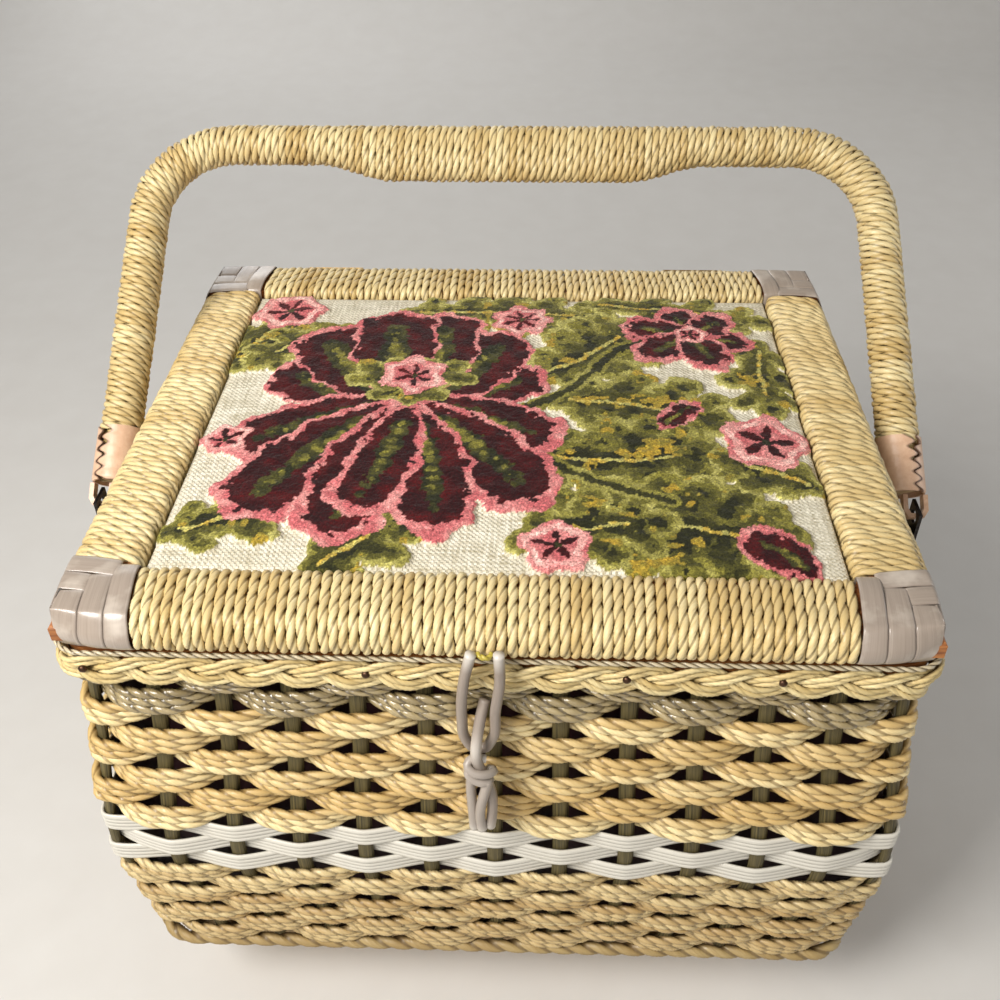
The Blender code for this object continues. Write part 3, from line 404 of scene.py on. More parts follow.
def cord_skin(path, outward, profile, radius, lay=None, closed=False, tone=0.5, flat=1.0, start=0.0):
    """A cord along a path. outward says which side faces out of the work, and flat thins that way."""
    heading, outward = headings(path, closed), np.asarray(outward, float)
    normal = unit(outward - (outward * heading).sum(1, keepdims=True) * heading)
    side = np.cross(heading, normal)
    steps = np.linalg.norm(np.roll(path, -1, 0) - path, axis=1)
    run = np.concatenate([[0], np.cumsum(steps)])
    turns = np.zeros(len(path)) if lay is None else np.cumsum(steps / lay) - steps[0] / np.ravel(lay)[0]
    if closed and lay is not None:
        whole = turns[-1] + steps[-1] / np.ravel(lay)[-1]
        turns *= max(round(whole), 1) / whole
    roll = start + math.tau * turns
    angle = roll[:, None] + math.tau * np.arange(len(profile))[None] / len(profile)
    reach = np.asarray(radius).reshape(-1, 1) * profile[None]
    out, across = reach * np.cos(angle), reach * np.sin(angle)
    rings = path[:, None] + normal[:, None] * (out * flat)[..., None] + side[:, None] * across[..., None]
    hollow = 0.5 - 0.5 * np.cos(angle) + 0 * reach
    return skin(rings, run, closed, hollow, tone)


# %% [markdown]
# ## Reed stakes
#
# The wall stands on reed stakes: a tall corner stake at each corner, and more between them.
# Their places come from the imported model's own rule: the wall bulges to the white band and
# draws in to the foot, and the stakes follow it. The same rule is repeated here, because
# every woven row has to pass them. Reed that was dyed olive shows dark grooves along its
# grain, so each stake's outline is a ring of fine ribs.

# %% Measure the wall
LID_X, LID_Y, LID_TOP, LID_THICK = 140 * MM, 117.5 * MM, 194 * MM, 16 * MM
LID_BOTTOM = LID_TOP - LID_THICK
RAIL, SWELL = 25 * MM, 4 * MM
OPENING_X, OPENING_Y = LID_X - RAIL, LID_Y - RAIL
RIM_X, RIM_Y = 143.5 * MM, 119 * MM
BORDER_TALL = 12.9 * MM
GAP = 0.3 * MM
RIM_TOP = LID_BOTTOM - 2.2 * MM
WALL_TOP = RIM_TOP + GAP - BORDER_TALL
SIDE_BULGE, FRONT_BULGE = 10 * MM, 8 * MM
CORNER = 14 * MM
CORD = 3.1 * MM
STAKE = 2.9 * MM
WALL_IN = 5.5 * MM
LEVELS = (0.0, 0.205, 0.381, 0.493, 0.546, 0.598, 0.701, 0.805, 0.908, 1.0)
BULGES = (0.0, 0.3, 0.72, 0.95, 1.0, 0.96, 0.71, 0.54, 0.36, 0.15)
ACROSS, DEEP = 12, 10


def wall_half(height):
    """Half the basket's width and depth over the weave at a height."""
    share = np.interp((WALL_TOP - height) / WALL_TOP, LEVELS, BULGES)
    return RIM_X + SIDE_BULGE * share, RIM_Y + FRONT_BULGE * share


def stakes_at(height):
    """Places of all stakes at a height, their outward directions and those of their wall."""
    half_x, half_y = wall_half(height)
    cut = CORNER * (1 - math.sqrt(0.5))
    corner = np.array([half_x - WALL_IN - cut, half_y - WALL_IN - cut])
    line = np.array([half_x, half_y]) - WALL_IN
    places, outward, own = [], [], []
    for gaps, sign, along, normal in (
        (ACROSS, (1, 1), (-1, 0), (0, 1)),
        (DEEP, (-1, 1), (0, -1), (-1, 0)),
        (ACROSS, (-1, -1), (1, 0), (0, -1)),
        (DEEP, (1, -1), (0, 1), (1, 0)),
    ):
        sign, along, normal = (np.array(v, float) for v in (sign, along, normal))
        span = 2 * abs((along * corner).sum())
        for k in range(gaps):
            spot = sign * corner + along * span * k / gaps
            if k:
                spot = np.where(normal != 0, normal * line, spot)
            places.append([*spot, height])
            outward.append([*(normal if k else sign * math.sqrt(0.5)), 0])
            own.append([*normal, 0])
    return np.array(places), np.array(outward), np.array(own)


print("stakes:", len(stakes_at(0.1)[0]))

# %% Make the reed's finish
reed, tree, shader = finish("olive_dyed_reed", 0.62)
uv = add(tree, "UVMap", uv_map="cord")
grain_at = add(tree, "VectorMath", {0: uv, 1: (26.0, 22.0, 1.0)}, operation="MULTIPLY")
grain = add(tree, "TexNoise", {"Vector": grain_at, "Scale": 1.0, "Detail": 4.0, "Roughness": 0.7})
grain_share = add(tree, "MapRange", {"Value": grain, "From Min": 0.36, "From Max": 0.66})
colour = add(tree, "Mix", {0: grain_share, 6: paint("#2E2917"), 7: paint("#75683F")}, **RGBA)
skin_deep(tree, shader, colour, grain, 0.7, 0.5 * MM)

# %% Stand the stakes
RIBBED = np.array([1.0, 0.9] * 8)
LATH = np.array([1.0, 0.62] * 4)
FOOT = 6.5 * MM
stake_top = RIM_TOP - 6.2 * MM - GAP
stake_heights = np.linspace(stake_top, FOOT + GAP, 26)
lines = np.stack([stakes_at(min(z, WALL_TOP))[0] for z in stake_heights])
lines[:, :, 2] = stake_heights[:, None]
outward = stakes_at(0.1)[1]
combs = {"back": range(0, 13), "left": range(13, 22), "front": range(22, 35), "right": range(35, 44)}
for wall, members in combs.items():
    skins = [cord_skin(lines[:, k], outward[k], RIBBED, STAKE, tone=rng.random(), flat=0.58) for k in members]
    strip_ends = lines[0, [members[0], members[-1]]] - np.array([0, 0, 2.3 * MM])
    if wall in ("front", "back"):
        strip_ends[:, 1] = lines[0, members[6], 1]
    strip = evenly(strip_ends, 8 * MM)
    skins.append(cord_skin(strip, outward[members[4]], LATH, 2.6 * MM, flat=0.55, start=math.radians(45)))
    piece(f"reed_stakes_{wall}", skins, reed, "basket", [f"{wall}_stakes"])
print("stake height, mm:", round((stake_heights[0] - stake_heights[-1]) / MM))

# %% [markdown]
# ## The woven rows
#
# Each row is three cords laid side by side. It passes outside one stake and inside the next,
# and the row under it does the opposite. Round a corner stake it follows the stake's outside.
# The line is worked out from the stakes' places, with a smooth curve between them, since a
# cord under tension makes one even wave. Each cord gets a small drift of its own, because a
# row packed down by hand is never quite level.


# %% Weave the cord rows
REACH, CORD_STEP, SPREAD = 3.3 * MM, 1.25 * MM, 0.13
GLOSSY_ROW, ROW, ROWS = 4.2 * MM, 3 * CORD, 7
GLOSSY_LAY, CORD_LAY, LOWER_LAY = 12 * MM, 15.5 * MM, 12.5 * MM


def weave_line(height, phase, reach):
    """A row's turning points at a height, out round one stake and in behind the next.

    The fourth number is 1 where the row lies outside a stake and -1 inside.
    """
    places, outward, own = stakes_at(height)
    before = np.roll(own, 1, 0)
    line = []
    for k in range(len(places)):
        outside = (k + phase) % 2 == 0
        corner = abs(outward[k, 0] * outward[k, 1]) > 0
        if corner and outside:
            line += [[*(places[k] + way * reach), 1] for way in (before[k], outward[k], own[k])]
        else:
            line.append([*(places[k] + outward[k] * (reach if outside else -reach)), 1 if outside else -1])
    return np.array(line)


def woven_cord(height, phase, reach, offset, drift):
    """One cord of a row, the way that faces out of the wall, and where it lies outside the stakes.

    offset is its height over the row's middle. The cords spread where they show and draw
    together where they pass behind a stake.
    """
    line = evenly(flowing(weave_line(height + offset, phase, reach), 12, True), CORD_STEP, True)
    path, swing = line[:, :3], line[:, 3]
    path[:, 2] += offset * SPREAD * swing
    dip = np.clip((1 - swing) / 2, 0, 1)
    turn = np.linspace(0, math.tau, len(path), endpoint=False)
    for wave in (5, 11, 23):
        path[:, 2] += drift / 2 * np.sin(wave * turn + rng.random() * math.tau)
    outward = outwards(path)
    return path + outward * (2 * reach * (dip - dip**1.7))[:, None], outward, swing


def weave_row(name, top, tall, phase, material, cords, lay, thick, slot, reach=REACH, drift=0.25 * MM):
    """A row of cords between two heights. thick is how much they press into one another."""
    size = tall / cords
    skins = []
    for k in range(cords):
        offset = tall / 2 - size * (k + 0.5)
        path, outward, swing = woven_cord(top - tall / 2, phase, reach, offset, drift)
        radius = size / 2 * thick * (1 + 0.7 * SPREAD * swing)
        tone = rng.random()
        own_lay = lay * rng.uniform(0.9, 1.15)
        skins.append(cord_skin(path, outward, TWO_PLY, radius, own_lay, True, tone, start=rng.random() * math.tau))
    piece(f"woven_{name}", skins, material, "basket", [name])


gloss_cane = paper_cord("varnished_paper_cord", "#BBA87C", "#7A6945", "#3A2D17", 0.3)
varnish = gloss_cane.node_tree.nodes["Principled BSDF"]
varnish.inputs["Coat Weight"].default_value = 0.8
varnish.inputs["Coat Roughness"].default_value = 0.08
row_top = WALL_TOP - GAP
weave_row("glossy_row", row_top, GLOSSY_ROW, 0, gloss_cane, 2, GLOSSY_LAY, 1.15, "glossy_cane")
row_top -= GLOSSY_ROW + GAP
phase = 1
for k in range(ROWS):
    look, lay = (weave_cord, CORD_LAY) if k else (gloss_cane, GLOSSY_LAY)
    weave_row(f"upper_row_{k + 1}", row_top, ROW, phase, look, 3, lay, 1.2, "twisted_paper_cord")
    row_top -= ROW + GAP
    phase = 1 - phase
white_top, white_phase = row_top, phase
WHITE_ROW = 8.3 * MM
row_top -= 3 * (WHITE_ROW + GAP)
phase = 1 - phase
lower_pitch = (row_top - FOOT) / ROWS
low = lower_pitch - GAP
for k in range(ROWS):
    looser = {"reach": 2.7 * MM, "drift": 0.8 * MM}
    weave_row(f"lower_row_{k + 1}", row_top, low, phase, lower_cord, 3, LOWER_LAY, 1.36, "twisted_paper_cord", **looser)
    row_top -= lower_pitch
    phase = 1 - phase
print("cord rows:", 2 * ROWS + 1, "of pitch, mm:", round((ROW + GAP) / MM, 1), "and", round(lower_pitch / MM, 2))

# %% [markdown]
# ## White plastic cane
#
# Three rows are flat extruded plastic with four ribs along it. It is stiffer than cord, so it
# runs nearly straight between the stakes and bends sharply over them. Extruded plastic is
# even in colour and a little glossy, with faint drawn lines along its length.

# %% Weave the white rows
white_cane, tree, shader = finish("extruded_white_plastic_cane", 0.32, ior=1.49)
uv = add(tree, "UVMap", uv_map="cord")
drawn_at = add(tree, "VectorMath", {0: uv, 1: (60.0, 12.0, 1.0)}, operation="MULTIPLY")
drawn = add(tree, "TexNoise", {"Vector": drawn_at, "Scale": 1.0, "Detail": 2.0})
hollow = add(tree, "Attribute", attribute_name="hollow").outputs["Fac"]
colour = add(tree, "Mix", {0: drawn, 6: paint("#DDD9CE"), 7: paint("#C3BEB1")}, **RGBA)
# painted shade: the grooves between the ribs, the strip's edges and its back are darkened
groove_shade = add(tree, "MapRange", {"Value": hollow, "From Min": 0.3, "From Max": 1.0, "To Max": 0.75})
colour = add(tree, "Mix", {0: groove_shade, 6: colour, 7: paint("#6F6A5E")}, **RGBA)
skin_deep(tree, shader, colour, drawn, 0.2, 0.2 * MM)

# outline of the strip: (out, up) in mm, and how deep in a groove each point lies, which sets its painted shade
STRIP = np.array(
    [
        (-0.7, 0.0, 0.6), (-0.7, 2.4, 0.6), (-0.6, 4.1, 0.6), (0.1, 4.45, 0.3), (0.6, 4.0, 0), (0.78, 3.2, 0),
        (0.66, 2.45, 0), (0.38, 2.1, 0.8), (0.66, 1.75, 0), (0.78, 1.1, 0), (0.66, 0.4, 0), (0.38, 0.05, 0.8),
        (0.66, -0.3, 0), (0.78, -1.0, 0), (0.66, -1.7, 0), (0.38, -2.05, 0.8), (0.66, -2.4, 0), (0.78, -3.2, 0),
        (0.58, -4.0, 0), (0.1, -4.45, 0.3), (-0.6, -4.1, 0.6), (-0.7, -2.4, 0.6),
    ]
)


def strip_skin(path):
    """The flat strip, carried once round the basket along a path."""
    outward = outwards(path)
    side = np.cross(headings(path, True), outward)
    out, up = STRIP[:, 0] * MM, -STRIP[:, 1] * MM
    rings = path[:, None] + outward[:, None] * out[None, :, None] + side[:, None] * up[None, :, None]
    hollow = np.broadcast_to(STRIP[:, 2], rings.shape[:2])
    return skin(rings, travelled(np.vstack([path, path[:1]])), True, hollow)


STRIP_STEP = 1.6 * MM
for k in range(3):
    top = white_top - k * (WHITE_ROW + GAP)
    control = weave_line(top - WHITE_ROW / 2, (white_phase + k) % 2, 2.45 * MM)[:, :3]
    taut = evenly(control, STRIP_STEP, True)
    soft = evenly(flowing(control, 10, True), STRIP_STEP, True)
    soft = np.stack([np.interp(np.linspace(0, 1, len(taut)), np.linspace(0, 1, len(soft)), c) for c in soft.T], 1)
    path = evenly((taut + soft) / 2, STRIP_STEP, True)
    node = f"white_row_{k + 1}"
    piece(f"woven_{node}", [strip_skin(path)], white_cane, "basket", [node])
print("white strip, mm:", WHITE_ROW / MM, "wide")

# %% [markdown]
# ## Border, gimp and foot rope
#
# The rim is finished with a flat plait: three strands, each of two smooth paper cords, nailed
# to the wood behind it. A plait is easy to describe with waves. Each strand rises and falls in
# one sine wave, and moves in and out in another that is twice as fast, so that it passes over
# one neighbour and under the next. The strands are a third of a wave apart.
#
# Over the plait lies a gimp, a thin glossy cord that fills the joint under the lid, and round
# the foot runs a thicker twisted rope. All of them follow the same rounded oblong.


# %% Plait the border
def oblong(half_x, half_y, radius, height, spacing):
    """A level rounded oblong, counter-clockwise, and the way out of it at each point."""
    points = []
    for sign_x, sign_y, first in ((1, 1, 0), (-1, 1, 90), (-1, -1, 180), (1, -1, 270)):
        for turn in np.radians(np.linspace(first, first + 90, 12)):
            x = sign_x * (half_x - radius) + radius * math.cos(turn)
            y = sign_y * (half_y - radius) + radius * math.sin(turn)
            points.append((x, y, height))
    path = evenly(points, spacing, True)
    return path, outwards(path)


BORDER_LIFT, BORDER_STEP = 169.65 * MM, 1.5 * MM
PLAIT_RISE, PLAIT_DEPTH, PAIR, PLAIT_CORD = 4.1 * MM, 1.25 * MM, 1.15 * MM, 1.2 * MM
PLAIT_WAVES, PLAIT_LAY = 21, 13 * MM
SOFT_PLY = np.array([0.84, 0.95, 1.0, 1.0, 1.0, 0.95] * 2)
middle, outward = oblong(142.4 * MM, 117.9 * MM, 13 * MM, BORDER_LIFT, BORDER_STEP)
wave = np.linspace(0, PLAIT_WAVES * math.tau, len(middle), endpoint=False)
swing = np.linspace(0, math.tau, len(middle), endpoint=False)
skins = []
for strand in range(3):
    t = wave + strand * math.tau / 3 + 0.12 * np.sin(7 * swing + strand)
    line = middle + outward * (PLAIT_DEPTH * np.sin(2 * t))[:, None]
    line[:, 2] += PLAIT_RISE * np.sin(t)
    beside = unit(np.cross(outward, headings(line, True)))
    for sign in (-1, 1):
        shift = PAIR * sign * (1 + 0.06 * np.sin(13 * swing + strand + sign))
        path = line + beside * shift[:, None]
        skins.append(cord_skin(path, outward, SOFT_PLY, PLAIT_CORD, PLAIT_LAY, True, rng.random(), 0.92))
piece("plaited_border", skins, border_cord, "basket", ["rim_braid"])
print("plait:", len(skins), "cords, once round, mm:", round(len(middle) * BORDER_STEP / MM))

# %% Lay the gimp and the foot rope
gimp_cord, tree, shader = finish("clear_drawn_plastic_cord", 0.16, ior=1.47)
uv = add(tree, "UVMap", uv_map="cord")
parts = add(tree, "SeparateXYZ", {0: uv})
wave = add(tree, "Math", {0: parts.outputs[0], 1: math.tau * PLIES}, operation="MULTIPLY")
wave = add(tree, "Math", {0: wave}, operation="COSINE")
cloudy = add(tree, "TexNoise", {"Vector": add(tree, "TexCoord").outputs["Object"], "Scale": 160.0, "Detail": 2.0})
colour = add(tree, "Mix", {0: cloudy, 6: paint("#E3D8BC"), 7: paint("#A08C64")}, **RGBA)
# painted shade darkens the groove between the plies
groove = add(tree, "MapRange", {"Value": wave, "From Min": 0.3, "From Max": 1.0, "To Max": 0.8})
skin_deep(tree, shader, add(tree, "Mix", {0: groove, 6: colour, 7: paint("#4A3820")}, **RGBA))
PINCHED = np.array([0.4, 0.8, 0.97, 1.0, 0.97, 0.8] * 2)
path, outward = oblong(142.2 * MM, 118.3 * MM, 12 * MM, 177.3 * MM, 0.8 * MM)
gimp = cord_skin(path, outward, PINCHED, 0.95 * MM, 7 * MM, True)
piece("glossy_gimp", [gimp], gimp_cord, "basket", ["rim_trim"])
path, outward = oblong(142.2 * MM, 117.4 * MM, 15 * MM, 3.3 * MM, 1.3 * MM)
for wave in (3, 7):
    path[:, 2] += 0.15 * MM * np.sin(wave * np.linspace(0, math.tau, len(path), endpoint=False))
rope = cord_skin(path, outward, TWO_PLY, 2.9 * MM, 19 * MM, True, 0.5)
piece("foot_rope_twisted", [rope], foot_cord, "basket", ["foot_rope"])
print("gimp and foot rope laid")

# %% Nail the border
nail_steel, tree, shader = finish("browned_steel_nail", 0.42, metallic=1.0)
rust = add(tree, "TexNoise", {"Vector": add(tree, "TexCoord").outputs["Object"], "Scale": 900.0, "Detail": 3.0})
skin_deep(tree, shader, add(tree, "Mix", {0: rust, 6: paint("#3A2A20"), 7: paint("#6B5040")}, **RGBA))


def dome(centre, way, radius, tall):
    """A nail's domed head."""
    way = unit(np.array(way, float))
    across, up = np.cross(way, (0, 0, 1)), np.array((0, 0, 1.0))
    turn = np.linspace(0, math.tau, 12, endpoint=False)[:, None]
    circle = np.cos(turn) * across + np.sin(turn) * up
    lifts = np.radians([-45, -10, 20, 45, 68, 84])
    rings = [np.array(centre) + way * tall * math.sin(a) + circle * radius * math.cos(a) for a in lifts]
    return skin(rings, np.arange(len(rings) + 1) * MM)


NAIL_FACE_X, NAIL_FACE_Y = 144.2 * MM, 119.7 * MM
NAIL, NAIL_TALL = 1.45 * MM, 1.1 * MM
nails = [((x * MM, -NAIL_FACE_Y, 171.5 * MM), (0, -1, 0)) for x in (-130.6, -39.8, 42.5, 91.1)]
nails += [((x * MM, NAIL_FACE_Y, 170.9 * MM), (0, 1, 0)) for x in (-112, -38, 31, 118)]
nails += [((sign * NAIL_FACE_X, y * MM, 171 * MM), (sign, 0, 0)) for sign in (-1, 1) for y in (-84, 8, 79)]
piece("border_nails", [dome(c, way, NAIL, NAIL_TALL) for c, way in nails], nail_steel, "basket")
print("nails:", len(nails))

# %% [markdown]
# ## The wound rails of the lid
#
# Each rail of the lid is a wooden bar with two-ply cord wound round it, turn against turn:
# about 70 turns on the front rail. One long cord is carried round the bar's outline, which is
# flat above and slants out at the front. Where the plies of one turn meet those of the next,
# small dark notches show. The turns stand a little unevenly, as hand winding does. Towards the
# outside they draw together, since the corner strips are wider there.

# %% Wind the rails
TURN, WOUND, WOUND_LAY, WOUND_STEP = 3.3 * MM, 1.8 * MM, 14.5 * MM, 1.25 * MM
LEANING = 3.3 * MM
SIDE_SWELL = 0.55


def rail_outline(swell):
    """A rail's outline for the middle of its cord, as (outwards, up), with eased corners."""
    wide, tall, c = (RAIL + swell) / MM, LID_THICK / MM, WOUND / MM
    corners = [
        (c + 0.4, c + 1.0), (c + 1.2, c), (wide / 2, c), (wide - 5.2, c), (wide - c - 0.2, c + 3.0),
        (wide - c, tall * 0.4), (wide - c - 0.7, tall * 0.6), (wide - 4 - c + 0.5, tall - c - 1.1),
        (wide - 6.5 - c, tall - c), (wide / 2, tall - c + 0.15), (c + 3, tall - c), (c + 0.6, tall - c - 0.9),
        (c + 0.2, tall / 2),
    ]
    return thread([(x, y, 0) for x, y in corners], 10, 0.3 * MM, True)[:, :2]


def wound_rail(side, axis, out_way, opening, half_length):
    """One rail's winding: a single cord in turns side by side."""
    outline = rail_outline(SWELL if axis[0] else SWELL * SIDE_SWELL)[::-1]
    around = np.vstack([outline, outline[:1]])
    run = travelled(around)
    perimeter = run[-1]
    turns = round((2 * half_length - TURN) / TURN)
    pitch = (2 * half_length - 1.6 * WOUND) / (turns - 1)
    # the cord goes to its next place under the rail, where that doesn't show
    beneath = np.where(around[:, 1] < 3.2 * MM, 1.0, 0.16)
    passed = np.concatenate([[0], np.cumsum(np.diff(run) * (beneath[1:] + beneath[:-1]) / 2)])
    passed /= passed[-1]
    on_top = passed[around[:, 1] > 8 * MM].mean()
    travel = np.linspace(0, turns * perimeter, int(turns * perimeter / WOUND_STEP) + 1)
    share, turn = travel % perimeter, travel / perimeter
    out, up = (np.interp(share, run, around[:, k]) for k in (0, 1))
    near = [np.interp((share + d) % perimeter, run, around[:, k]) for d in (-1 * MM, 1 * MM) for k in (0, 1)]
    way = unit(np.stack([near[1] - near[3], near[2] - near[0]], 1))
    wobble = per_turn(turn, rng.normal(0, 0.13 * MM, turns + 2))
    lift = per_turn(turn, rng.normal(0, 0.12 * MM, turns + 2))
    moved = np.floor(turn) + np.interp(share, run, passed)
    place = -half_length + 0.7 * WOUND + pitch * (moved - on_top) + wobble
    place = np.clip(place, -half_length + 0.6 * WOUND, half_length - 0.6 * WOUND)
    place *= 1 - LEANING / half_length * out / (RAIL + SWELL)
    axis, out_way, up_way = np.array(axis, float), np.array(out_way, float), np.array((0, 0, 1.0))
    normal = out_way * way[:, :1] + up_way * way[:, 1:]
    path = axis * place[:, None] + out_way * (opening + out)[:, None] + up_way * (LID_BOTTOM + up)[:, None]
    path = path + normal * (lift - 0.1 * MM)[:, None]
    lay = WOUND_LAY * per_turn(turn, rng.uniform(0.85, 1.2, turns + 2))
    tone = per_turn(turn, rng.random(turns + 2))
    winding = cord_skin(path, normal, TWO_PLY, WOUND, lay, tone=tone, flat=0.9)
    piece(f"cord_wound_{side}_rail", [winding], rail_cord, "lid", [f"lid_{side}_winding"])
    print(side, "rail:", turns, "turns")


half_x, half_y = LID_X - RAIL - GAP, LID_Y - RAIL - GAP
wound_rail("front", (1, 0, 0), (0, -1, 0), OPENING_Y, half_x)
wound_rail("back", (-1, 0, 0), (0, 1, 0), OPENING_Y, half_x)
wound_rail("left", (0, -1, 0), (-1, 0, 0), OPENING_X, half_y)
wound_rail("right", (0, 1, 0), (1, 0, 0), OPENING_X, half_y)

# %% [markdown]
# ## The lid's corners
#
# The winding can't turn a corner, so each corner is covered with flat vinyl strips, three one
# way and three the other, cut to steps so that their ends hide under one another. The strips
# are drawn over the wood and it shows only at the very tip. Pearly vinyl is a soft plastic
# with mica in it: a broad pale shine, and faint streaks along the strip.
#
# One ribbon outline is carried over the rail's section for each strip. The rail swells towards
# the outside, so the strips fan out a little, and at the tip the swelling dies away.

# %% Mix the vinyl and the wood
pearly_vinyl, tree, shader = finish("calendered_pearly_vinyl", 0.3, ior=1.53)
uv = add(tree, "UVMap", uv_map="cord")
streaks = add(tree, "VectorMath", {0: uv, 1: (34.0, 26.0, 1.0)}, operation="MULTIPLY")
streaks = add(tree, "TexNoise", {"Vector": streaks, "Scale": 1.0, "Detail": 4.0, "Roughness": 0.65})
# painted sheen: pale patches at random stand for the pearly shine of the vinyl
sheen_noise = add(tree, "TexNoise", {"Vector": add(tree, "TexCoord").outputs["Object"], "Scale": 90.0, "Detail": 4.0})
colour = add(tree, "Mix", {0: streaks, 6: paint("#B5A698"), 7: paint("#877A6E")}, **RGBA)
pale_sheen = add(tree, "MapRange", {"Value": sheen_noise, "From Min": 0.48, "From Max": 0.7, "To Max": 0.6})
colour = add(tree, "Mix", {0: pale_sheen, 6: colour, 7: paint("#D9CEC0")}, **RGBA)
# painted shade at the edges of each strip and under it, from the outline's third column
hollow = add(tree, "Attribute", attribute_name="hollow").outputs["Fac"]
colour = add(tree, "Mix", {0: hollow, 6: colour, 7: paint("#5F544E")}, **RGBA)
skin_deep(tree, shader, colour, streaks, 0.25, 0.3 * MM)
shader.inputs["Coat Weight"].default_value = 0.35
shader.inputs["Coat Roughness"].default_value = 0.2


def wood(name, light, dark, roughness, grain_mm):
    """Sawn wood with its grain along x. grain_mm is the distance between two dark lines."""
    material, tree, shader = finish(name, roughness)
    place = add(tree, "TexCoord").outputs["Object"]
    per_metre = 1 / (grain_mm * MM)
    stretched = add(tree, "VectorMath", {0: place, 1: (per_metre / 12, per_metre, per_metre)}, operation="MULTIPLY")
    look = {"Vector": stretched, "Scale": 1.0, "Detail": 5.0, "Roughness": 0.6, "Distortion": 0.4}
    grain = add(tree, "TexNoise", look)
    share = add(tree, "MapRange", {"Value": grain, "From Min": 0.35, "From Max": 0.65})
    colour = add(tree, "Mix", {0: share, 6: paint(light), 7: paint(dark)}, **RGBA)
    skin_deep(tree, shader, colour, grain, 0.3, 0.3 * MM)
    return material


rim_wood = wood("stained_orange_brown_beech", "#B9783F", "#7A4520", 0.5, 1.2)
board_wood = wood("raw_pale_plywood", "#D9BE91", "#B8935F", 0.7, 1.6)
print("vinyl and wood mixed")

# %% Wrap the corners
# outline of a strip: share of its half width, height in mm, and how much painted shade it gets
RIBBON = np.array(
    [
        (-1, -0.3, 0.6), (-1, 0.05, 0.35), (-0.86, 0.22, 0), (-0.45, 0.3, 0), (0, 0.33, 0),
        (0.45, 0.3, 0), (0.86, 0.22, 0), (1, 0.05, 0.35), (1, -0.3, 0.6), (0, -0.3, 0.6),
    ]
)
RIBBON_STEP = 0.8 * MM
SQUARE, SIDE_SHARE = 22 * MM, 0.72


def draw_in(along_x, along_y):
    """Takes the rail's swell away towards the tip. Both distances are outwards from the opening."""
    over = [np.clip(v - SQUARE, 0, None) for v in (along_x, along_y)]
    near = [np.clip(v / SQUARE, 0, 1) for v in (along_x, along_y)]
    x = np.minimum(along_x, SQUARE) + over[0] * (SIDE_SHARE - 0.58 * near[1] ** 2)
    y = np.minimum(along_y, SQUARE) + over[1] * (1 - 0.72 * near[0] ** 2)
    return x, y


def ribbon_skin(near, far, end, corner, lengthwise):
    """A strip over a corner, between two distances from its tip, that starts at end from the edge."""
    if end >= RAIL / MM:
        line = [(0.5, 8), (0.55, 12.5), (1.2, 14.8), (2.6, 15.35)]
    else:
        line = [(25 - end - 0.5, 14.75), (25 - end + 0.6, 15.2), (25 - end + 2, 15.3)]
    line += [(21.6, 15.3), (23.4, 15.1), (24.9, 13.9), (26.7, 11.2), (28.2, 8.6), (28.55, 6.4)]
    line += [(28.0, 4.2), (26.4, 2.2), (24.8, 0.8), (22, 0.5), (14, 0.5)]
    path = thread([(x, y, 0) for x, y in line], 8, RIBBON_STEP)[:, :2]
    way = headings(np.column_stack([path, np.zeros(len(path))]), False)
    middle, half = (near + far) / 2 * MM, (far - near) / 2 * MM
    from_edge = middle + half * RIBBON[:, 0][None]
    out = path[:, :1] - way[:, 1:2] * RIBBON[:, 1][None] * MM
    up = path[:, 1:2] + way[:, :1] * RIBBON[:, 1][None] * MM
    fan = np.clip(out - 24.5 * MM, 0, None) * (1 - from_edge / RAIL) * 0.5
    inner = np.clip(0.55 + from_edge / MM / 40, 0, 1)
    sideways = RAIL - from_edge + fan - LEANING * inner * out / (RAIL + SWELL)
    flat = draw_in(*((sideways, out) if lengthwise else (out, sideways)))
    x = corner[0] * (OPENING_X + flat[0])
    y = corner[1] * (OPENING_Y + flat[1])
    rings = np.stack([x, y, LID_BOTTOM + up], -1)
    hollow = np.broadcast_to(RIBBON[:, 2], rings.shape[:2])
    return skin(rings, np.arange(len(rings) + 1) * RIBBON_STEP, hollow=hollow)


def tip_skin(corner):
    """The rail's wood under the strips, as rings that get wider and narrower with height."""
    rings = []
    for up, out in ((0.8, 24.2), (3.8, 27.7), (8.8, 27.7), (13.4, 24.1), (14.6, 22.4)):
        square = [(0.8, 0.8), (out, 0.8), (out, out - 1.6), (out - 1.6, out), (0.8, out)]
        square = [draw_in(np.array(a * MM), np.array(b * MM)) for a, b in square]
        place = [(corner[0] * (OPENING_X + a), corner[1] * (OPENING_Y + b)) for a, b in square]
        rings.append([(x, y, LID_BOTTOM + up * MM) for x, y in place])
    return skin(rings, np.arange(6) * 3 * MM)


LENGTHWISE = ((17.5, 24.9, 25), (9.8, 17.4, 18.6), (1.3, 9.7, 11.1))
CROSSWISE = ((17.5, 24.9, 18.5), (9.8, 17.4, 11), (1.3, 9.7, 3.9))
for side_y, end_y in ((-1, "front"), (1, "back")):
    for side_x, end_x in ((-1, "left"), (1, "right")):
        corner, end = (side_x, side_y), f"{end_y}_{end_x}"
        strips = [ribbon_skin(*strip, corner, True) for strip in LENGTHWISE]
        strips += [ribbon_skin(*strip, corner, False) for strip in CROSSWISE]
        piece(f"vinyl_corner_{end}", strips, pearly_vinyl, "lid", [f"lid_corner_{end}"])
        tip = [tip_skin(corner)]
        piece(f"wooden_tip_{end}", tip, rim_wood, "lid", smooth=False)
print("corner strips:", 4 * 6)
